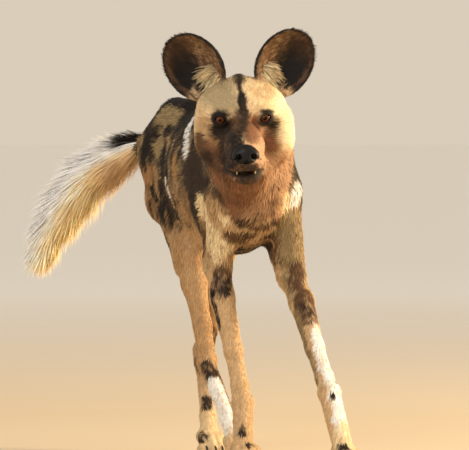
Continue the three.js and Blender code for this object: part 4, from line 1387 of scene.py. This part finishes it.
def chart_trunk(p):
    return round_line(p, [joint[:3] for joint in SPINE], np.array([1.0, 0, 0]))


def chart_neck(p):
    return round_line(p, [joint[:3] for joint in NECK_LINE], HEAD_SIDE)


def chart_head(p):
    return round_line(p, [in_head(0, -110, -10), in_head(0, 0, -20), in_head(0, 105, -62)], HEAD_SIDE)


def chart_ears(p):
    """The front and the back of each ear, in the four quarters of the map."""
    uv = np.zeros((len(p), 2))
    for out, left in ((-1, 0.0), (1, 0.5)):
        across, along, outward, share = in_ear(p, out)
        mine = share < 1.6
        behind = outward < -EAR_DEPTH * (1 - share**2) - EAR_WALL / 2
        across, along = across / EAR_SHORT * 0.2, along / EAR_LONG * 0.2
        place = np.stack([across + 0.25 + left, along + 0.25 + 0.5 * behind], 1)
        uv[mine] = place[mine]
    return uv


FORE_JOINTS = ("knuckle", "wrist", "elbow", "shoulder")
HIND_JOINTS = ("knuckle", "hock", "stifle", "hip")


def chart_legs(p):
    """The four legs side by side, each by the angle round it and the height."""
    uv = np.zeros((len(p), 2))
    best = np.full(len(p), np.inf)
    for column, leg in enumerate(LEGS.values()):
        line = np.array([leg[key] for key in (FORE_JOINTS if "wrist" in leg else HIND_JOINTS)])
        middle = np.stack([np.interp(p[:, 2], line[:, 2], line[:, i]) for i in range(2)], 1)
        off = np.linalg.norm(p[:, :2] - middle, axis=1)
        angle = np.arctan2(p[:, 0] - middle[:, 0], p[:, 1] - middle[:, 1]) / (2 * math.pi) + 0.5
        place = np.stack([(column + 0.04 + 0.92 * angle) / 4, 0.02 + p[:, 2] / 700], 1)
        closer = off < best
        uv[closer], best = place[closer], np.minimum(best, off)
    return uv


def chart_tail(p):
    share, place, way = along_tail(p)
    q = p - place
    above = unit(np.cross(way, TAIL_SIDE))
    angle = np.arctan2(q @ TAIL_SIDE, (q * above).sum(1)) / (2 * math.pi) + 0.5
    return np.stack([angle, 0.05 + 0.9 * share], 1)


PATCH = 0.003  # how much of the bake map one tuft takes
DEPTH = 0.4  # how far a tuft's root is sunk into the skin


def add_tufts(
    name, root, ways, normals, length, width, lift, colours, chart, slot_name, droop=0.0, rings=2, shade=0.78
):
    """One mesh of thin folded blades, each from its root along its way, rising to `lift` at the tip."""
    count = len(root)
    side = unit(np.cross(normals, ways))
    parts, tones, places = [], [], []
    corner = np.clip(chart(root), 0.002, 0.998)
    for ring in range(rings):
        t = ring / rings
        middle = (
            root
            + ways * (length * t)[:, None]
            + normals * (lift * (2 * t - t * t) - DEPTH * (1 - t))[:, None]
            + DOWN * (droop * length * t * t)[:, None]
        )
        half = (width * (0.5 - 0.2 * t))[:, None]
        ridge = normals * (width * 0.22)[:, None]
        parts += [middle - side * half, middle + ridge, middle + side * half]
        tones += [colours * (shade + 0.3 * t)] * 3
        places += [corner + PATCH * np.array([across, t - 0.5]) for across in (-0.5, 0, 0.5)]
    tip = root + ways * length[:, None] + normals * lift[:, None] + DOWN * (droop * length)[:, None]
    parts.append(tip)
    tones.append(colours * 1.1)
    places.append(corner + PATCH * np.array([0, 0.5]))
    stride = len(parts)
    points = np.stack(parts, 1).reshape(-1, 3)
    points[:, 2] = np.maximum(points[:, 2], 0.3)
    faces = []
    for ring in range(rings - 1):
        for column in (0, 1):
            a = 3 * ring + column
            faces += [(a, a + 1, a + 4), (a, a + 4, a + 3)]
    last = 3 * (rings - 1)
    faces += [(last, last + 1, stride - 1), (last + 1, last + 2, stride - 1)]
    faces = np.array(faces)[None] + stride * np.arange(count)[:, None, None]
    tones = np.clip(np.stack(tones, 1).reshape(-1, 3), 0, 1)
    uv = np.stack(places, 1).reshape(-1, 2)
    piece = add_mesh(name, points, faces.reshape(-1, 3), tones, uv)
    piece.data.materials.append(COAT_MATERIAL)
    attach(piece, "root")
    print(f"{name}: {count} tufts, {len(piece.data.polygons)} triangles")


def spread_roots(random, mine, density):
    """Roots on the faces given, as many as the density asks: their places and normals."""
    quads = skin_quads[mine]
    a, b, c, d = (skin_points[quads[:, n]] for n in range(4))
    area = np.linalg.norm(np.cross(c - a, d - b), axis=1) / 2
    running = np.cumsum(area * density[quads].mean(1))
    count = int(running[-1])
    pick = np.searchsorted(running, (np.arange(count) + random.random(count)) * running[-1] / count)
    pick = np.minimum(pick, len(quads) - 1)
    u, v = random.random((2, count))
    shares = np.stack([(1 - u) * (1 - v), u * (1 - v), u * v, (1 - u) * v], 1)
    corners = quads[pick]
    root = (skin_points[corners] * shares[..., None]).sum(1)
    normals = unit((skin_normals[corners] * shares[..., None]).sum(1))
    return root, normals


def strayed(random, ways, normals, amount):
    """The ways turned about the normals by random angles."""
    angle = random.normal(size=len(ways)) * amount
    return ways * np.cos(angle)[:, None] + np.cross(normals, ways) * np.sin(angle)[:, None]


def toned(random, colours, amount=0.13):
    """Each tuft a little lighter, darker, warmer or cooler than its neighbours."""
    light = np.exp(random.normal(size=(len(colours), 1)) * amount)
    warm = random.normal(size=(len(colours), 1)) * 0.035
    return np.clip(colours * light * (1 + warm * np.array([1, 0, -1])), 0, 1)


CLAW_BARE, NOSE_BARE, SOLE_BARE = 5.5, 2.5, 2.0  # how far no tuft grows from a claw, the nose and the floor


def bare_places(p):
    """Where no tuft grows: the eyes, the roots of the claws, the nose, the lips and the soles."""
    bare = (nose_shape(p) < NOSE_BARE) | (p[:, 2] < SOLE_BARE)
    for m in (-1, 1):
        bare |= np.linalg.norm(p - eye_centre(m), axis=1) < LID_RADIUS
    for leg in LEGS.values():
        for place, reach in TOES:
            bare |= np.linalg.norm(p - claw_root(leg, place, reach), axis=1) < CLAW_BARE
    above, forward = above_lips(p)
    lips = (np.abs(above) < 5) & (forward > 14) & (bare_head(p) < 6)
    return bare | lips


def add_short_coat(random, name, mine, density, chart, slot_name):
    """The tufts of one part of the body, from the blended numbers of its regions."""
    root, normals = spread_roots(random, mine, density)
    weights, grows = region_weights(root), ~bare_places(root)
    root, normals = root[grows], normals[grows]
    weights = {key: w[grows] for key, w in weights.items()}
    ways = strayed(random, lie_of(root, normals, weights), normals, mixed(weights, "stray"))
    length = mixed(weights, "length") * random.uniform(0.75, 1.25, len(root))
    width = mixed(weights, "width") * random.uniform(0.7, 1.2, len(root))
    lift = mixed(weights, "lift") * random.uniform(0.5, 1.1, len(root))
    length, lift, width = head_lengths(root, weights["head"], length, lift, width)
    colours = toned(random, pelt(root, normals))
    add_tufts(name, root, ways, normals, length, width, lift, colours, chart, slot_name)


def head_lengths(p, share, length, lift, width):
    """On the face the tufts are shortest at the nose, and they grow long over the cheeks and the nape."""
    side, forward, up = to_head(p)
    front = smooth_step(-50, 10, forward) * share
    cheek = smooth_step(8, -44, forward) * smooth_step(4, -28, up + 0.2 * forward) * share
    cheek = cheek * (0.3 + 0.7 * smooth_step(-60, 20, side))
    crown = smooth_step(11, 3, np.abs(side + 3)) * smooth_step(50, 57, up)
    crown = crown * smooth_step(-88, -70, forward) * share
    length = length * (1 - 0.5 * front) + 17 * cheek + 3 * crown
    lift = lift * (1 - 0.45 * front) + 7.5 * cheek + 3 * crown
    width = width * (1 - 0.3 * front) + 0.4 * cheek
    return length, lift, width


EAR_LOCKS = 340  # in each ear, before those beyond the hollow are left out


def add_ear_tufts(random):
    """Cream locks from the inner edge of each ear out over its hollow."""
    roots, ways, normals, lengths, colours = [], [], [], [], []
    for out in (-1, 1):
        height = random.uniform(-0.85, -0.2, EAR_LOCKS)
        across = -out * EAR_SHORT * random.uniform(-0.02, 0.5, EAR_LOCKS)
        along = EAR_LONG * height
        share = np.sqrt((across / EAR_SHORT) ** 2 + (along / EAR_LONG) ** 2)
        keep = share < 0.9
        across, along, share, height = across[keep], along[keep], share[keep], height[keep]
        local = np.stack([across, along, -EAR_DEPTH * (1 - share**2) + 0.5], 1)
        level = np.ones(len(height))
        way = np.stack([out * 0.85 * level, 0.75 + 1.6 * height, 0.4 * level], 1)
        way = unit(way + random.normal(size=way.shape) * 0.17) @ EAR_AXES[out]
        roots.append(EAR_CENTRE[out] + local @ EAR_AXES[out])
        ways.append(way)
        normals.append(np.tile(EAR_AXES[out][2], (len(way), 1)))
        lengths.append(random.uniform(7, 27, len(way)))
        colours.append(blended(CREAM, UMBER, random.random(len(way)) * 0.9))
    root, way, normal = map(np.concatenate, (roots, ways, normals))
    length, colour = np.concatenate(lengths), toned(random, np.concatenate(colours), 0.32)
    width, lift = np.full(len(root), 1.3), np.full(len(root), 2.0)
    add_tufts("ear_locks", root, way, normal, length, width, lift, colour, chart_ears, "ear_fur", 0.16, 4)


def add_plume(random, mine, density):
    """Long locks that leave the slim core of the tail at a low angle and fill the plume's outline."""
    root, _ = spread_roots(random, mine, density)
    share, place, way = along_tail(root)
    outward = unit(root - place - ((root - place) * way).sum(1)[:, None] * way)
    below = unit(np.cross(way, TAIL_SIDE))
    below = below * np.where(below[:, 2] > 0, -1, 1)[:, None]
    stations = np.linspace(0, 1, len(TAIL_LINE))
    ahead = np.clip(share + 0.16, 0, 1)
    wide = np.interp(ahead, stations, PLUME_WIDE)
    deep = np.interp(ahead, stations, PLUME_DEEP)
    part = np.hypot((outward @ TAIL_SIDE) / wide, (outward * below).sum(1) / deep)
    room = 1 / np.maximum(part, 1e-6) - np.interp(ahead, stations, TAIL_CORE)
    length = np.interp(share, [0, 0.2, 0.5, 1], [30, 62, 84, 56])
    length = length * random.uniform(0.7, 1.1, len(root))
    spread = np.clip(room * random.uniform(0.6, 1.1, len(root)) / length, 0, 0.8)
    stray = random.normal(size=root.shape) * 0.07
    ways = unit(way * np.sqrt(1 - spread**2)[:, None] + outward * spread[:, None] + stray)
    width, lift = np.interp(share, [0, 0.3, 1], [1.8, 2.4, 2.2]), np.full(len(root), 1.0)
    halfway = root + outward * (room * 0.5)[:, None]
    colours = tail_colours(halfway, np.zeros_like(root), np.ones(len(root)))
    colours = toned(random, colours, 0.12)
    add_tufts(
        "tail_plume", root, ways, outward, length, width, lift, colours, chart_tail, "tail_fur", 0.1, 4, 1.0
    )


COAT_MATERIAL = pelt_material("coat_fur", 0.62, 700.0, 0.12, 900.0, 0.25)


def add_coat():
    random = np.random.default_rng(SEED)
    weights = region_weights(skin_points)
    density = mixed(weights, "count")
    names = list(REGIONS)
    strongest = np.argmax(np.stack([weights[name][skin_quads].mean(1) for name in names]), 0)
    middle = skin_points[skin_quads].mean(1)
    is_on = {name: strongest == n for n, name in enumerate(names)}
    legs = is_on["haunch"] | is_on["shank"] | is_on["paw"]
    leftward = middle[:, 0] > spine_at(middle[:, 1], 0)
    fore = middle[:, 1] < 110
    parts = [
        ("coat_right_flank", is_on["trunk"] & ~leftward, chart_trunk, "body_fur"),
        ("coat_left_flank", is_on["trunk"] & leftward, chart_trunk, "body_fur"),
        ("coat_neck", is_on["neck"], chart_neck, "body_fur"),
        ("coat_head", is_on["head"], chart_head, "head_fur"),
        ("coat_ears", is_on["right_ear"] | is_on["left_ear"], chart_ears, "ear_fur"),
        ("coat_forelegs", legs & fore, chart_legs, "leg_fur"),
        ("coat_hindlegs", legs & ~fore, chart_legs, "leg_fur"),
    ]
    for name, mine, chart, slot_name in parts:
        add_short_coat(random, name, mine, density, chart, slot_name)
    add_plume(random, is_on["tail"], density)
    add_ear_tufts(random)


add_camera()
add_stage()
add_eyes(eye_material())
add_nose()
add_claws(horn_material("claw_horn", linear(22, 18, 16), linear(70, 58, 48), 0.38))
add_teeth(horn_material("tooth", linear(190, 164, 120), linear(222, 202, 160), 0.3))
skin_colours = pelt(skin_points, skin_normals)
skin_piece = add_mesh("skin", skin_points, skin_quads, skin_colours)
skin_piece.data.materials.append(pelt_material("skin_fur", 0.75, 260.0, 0.18, 520.0, 0.5))
add_coat()
FLESH = [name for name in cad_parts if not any(word in name for word in ("eye", "claw", "nose"))]
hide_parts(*FLESH)
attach(skin_piece, "root")
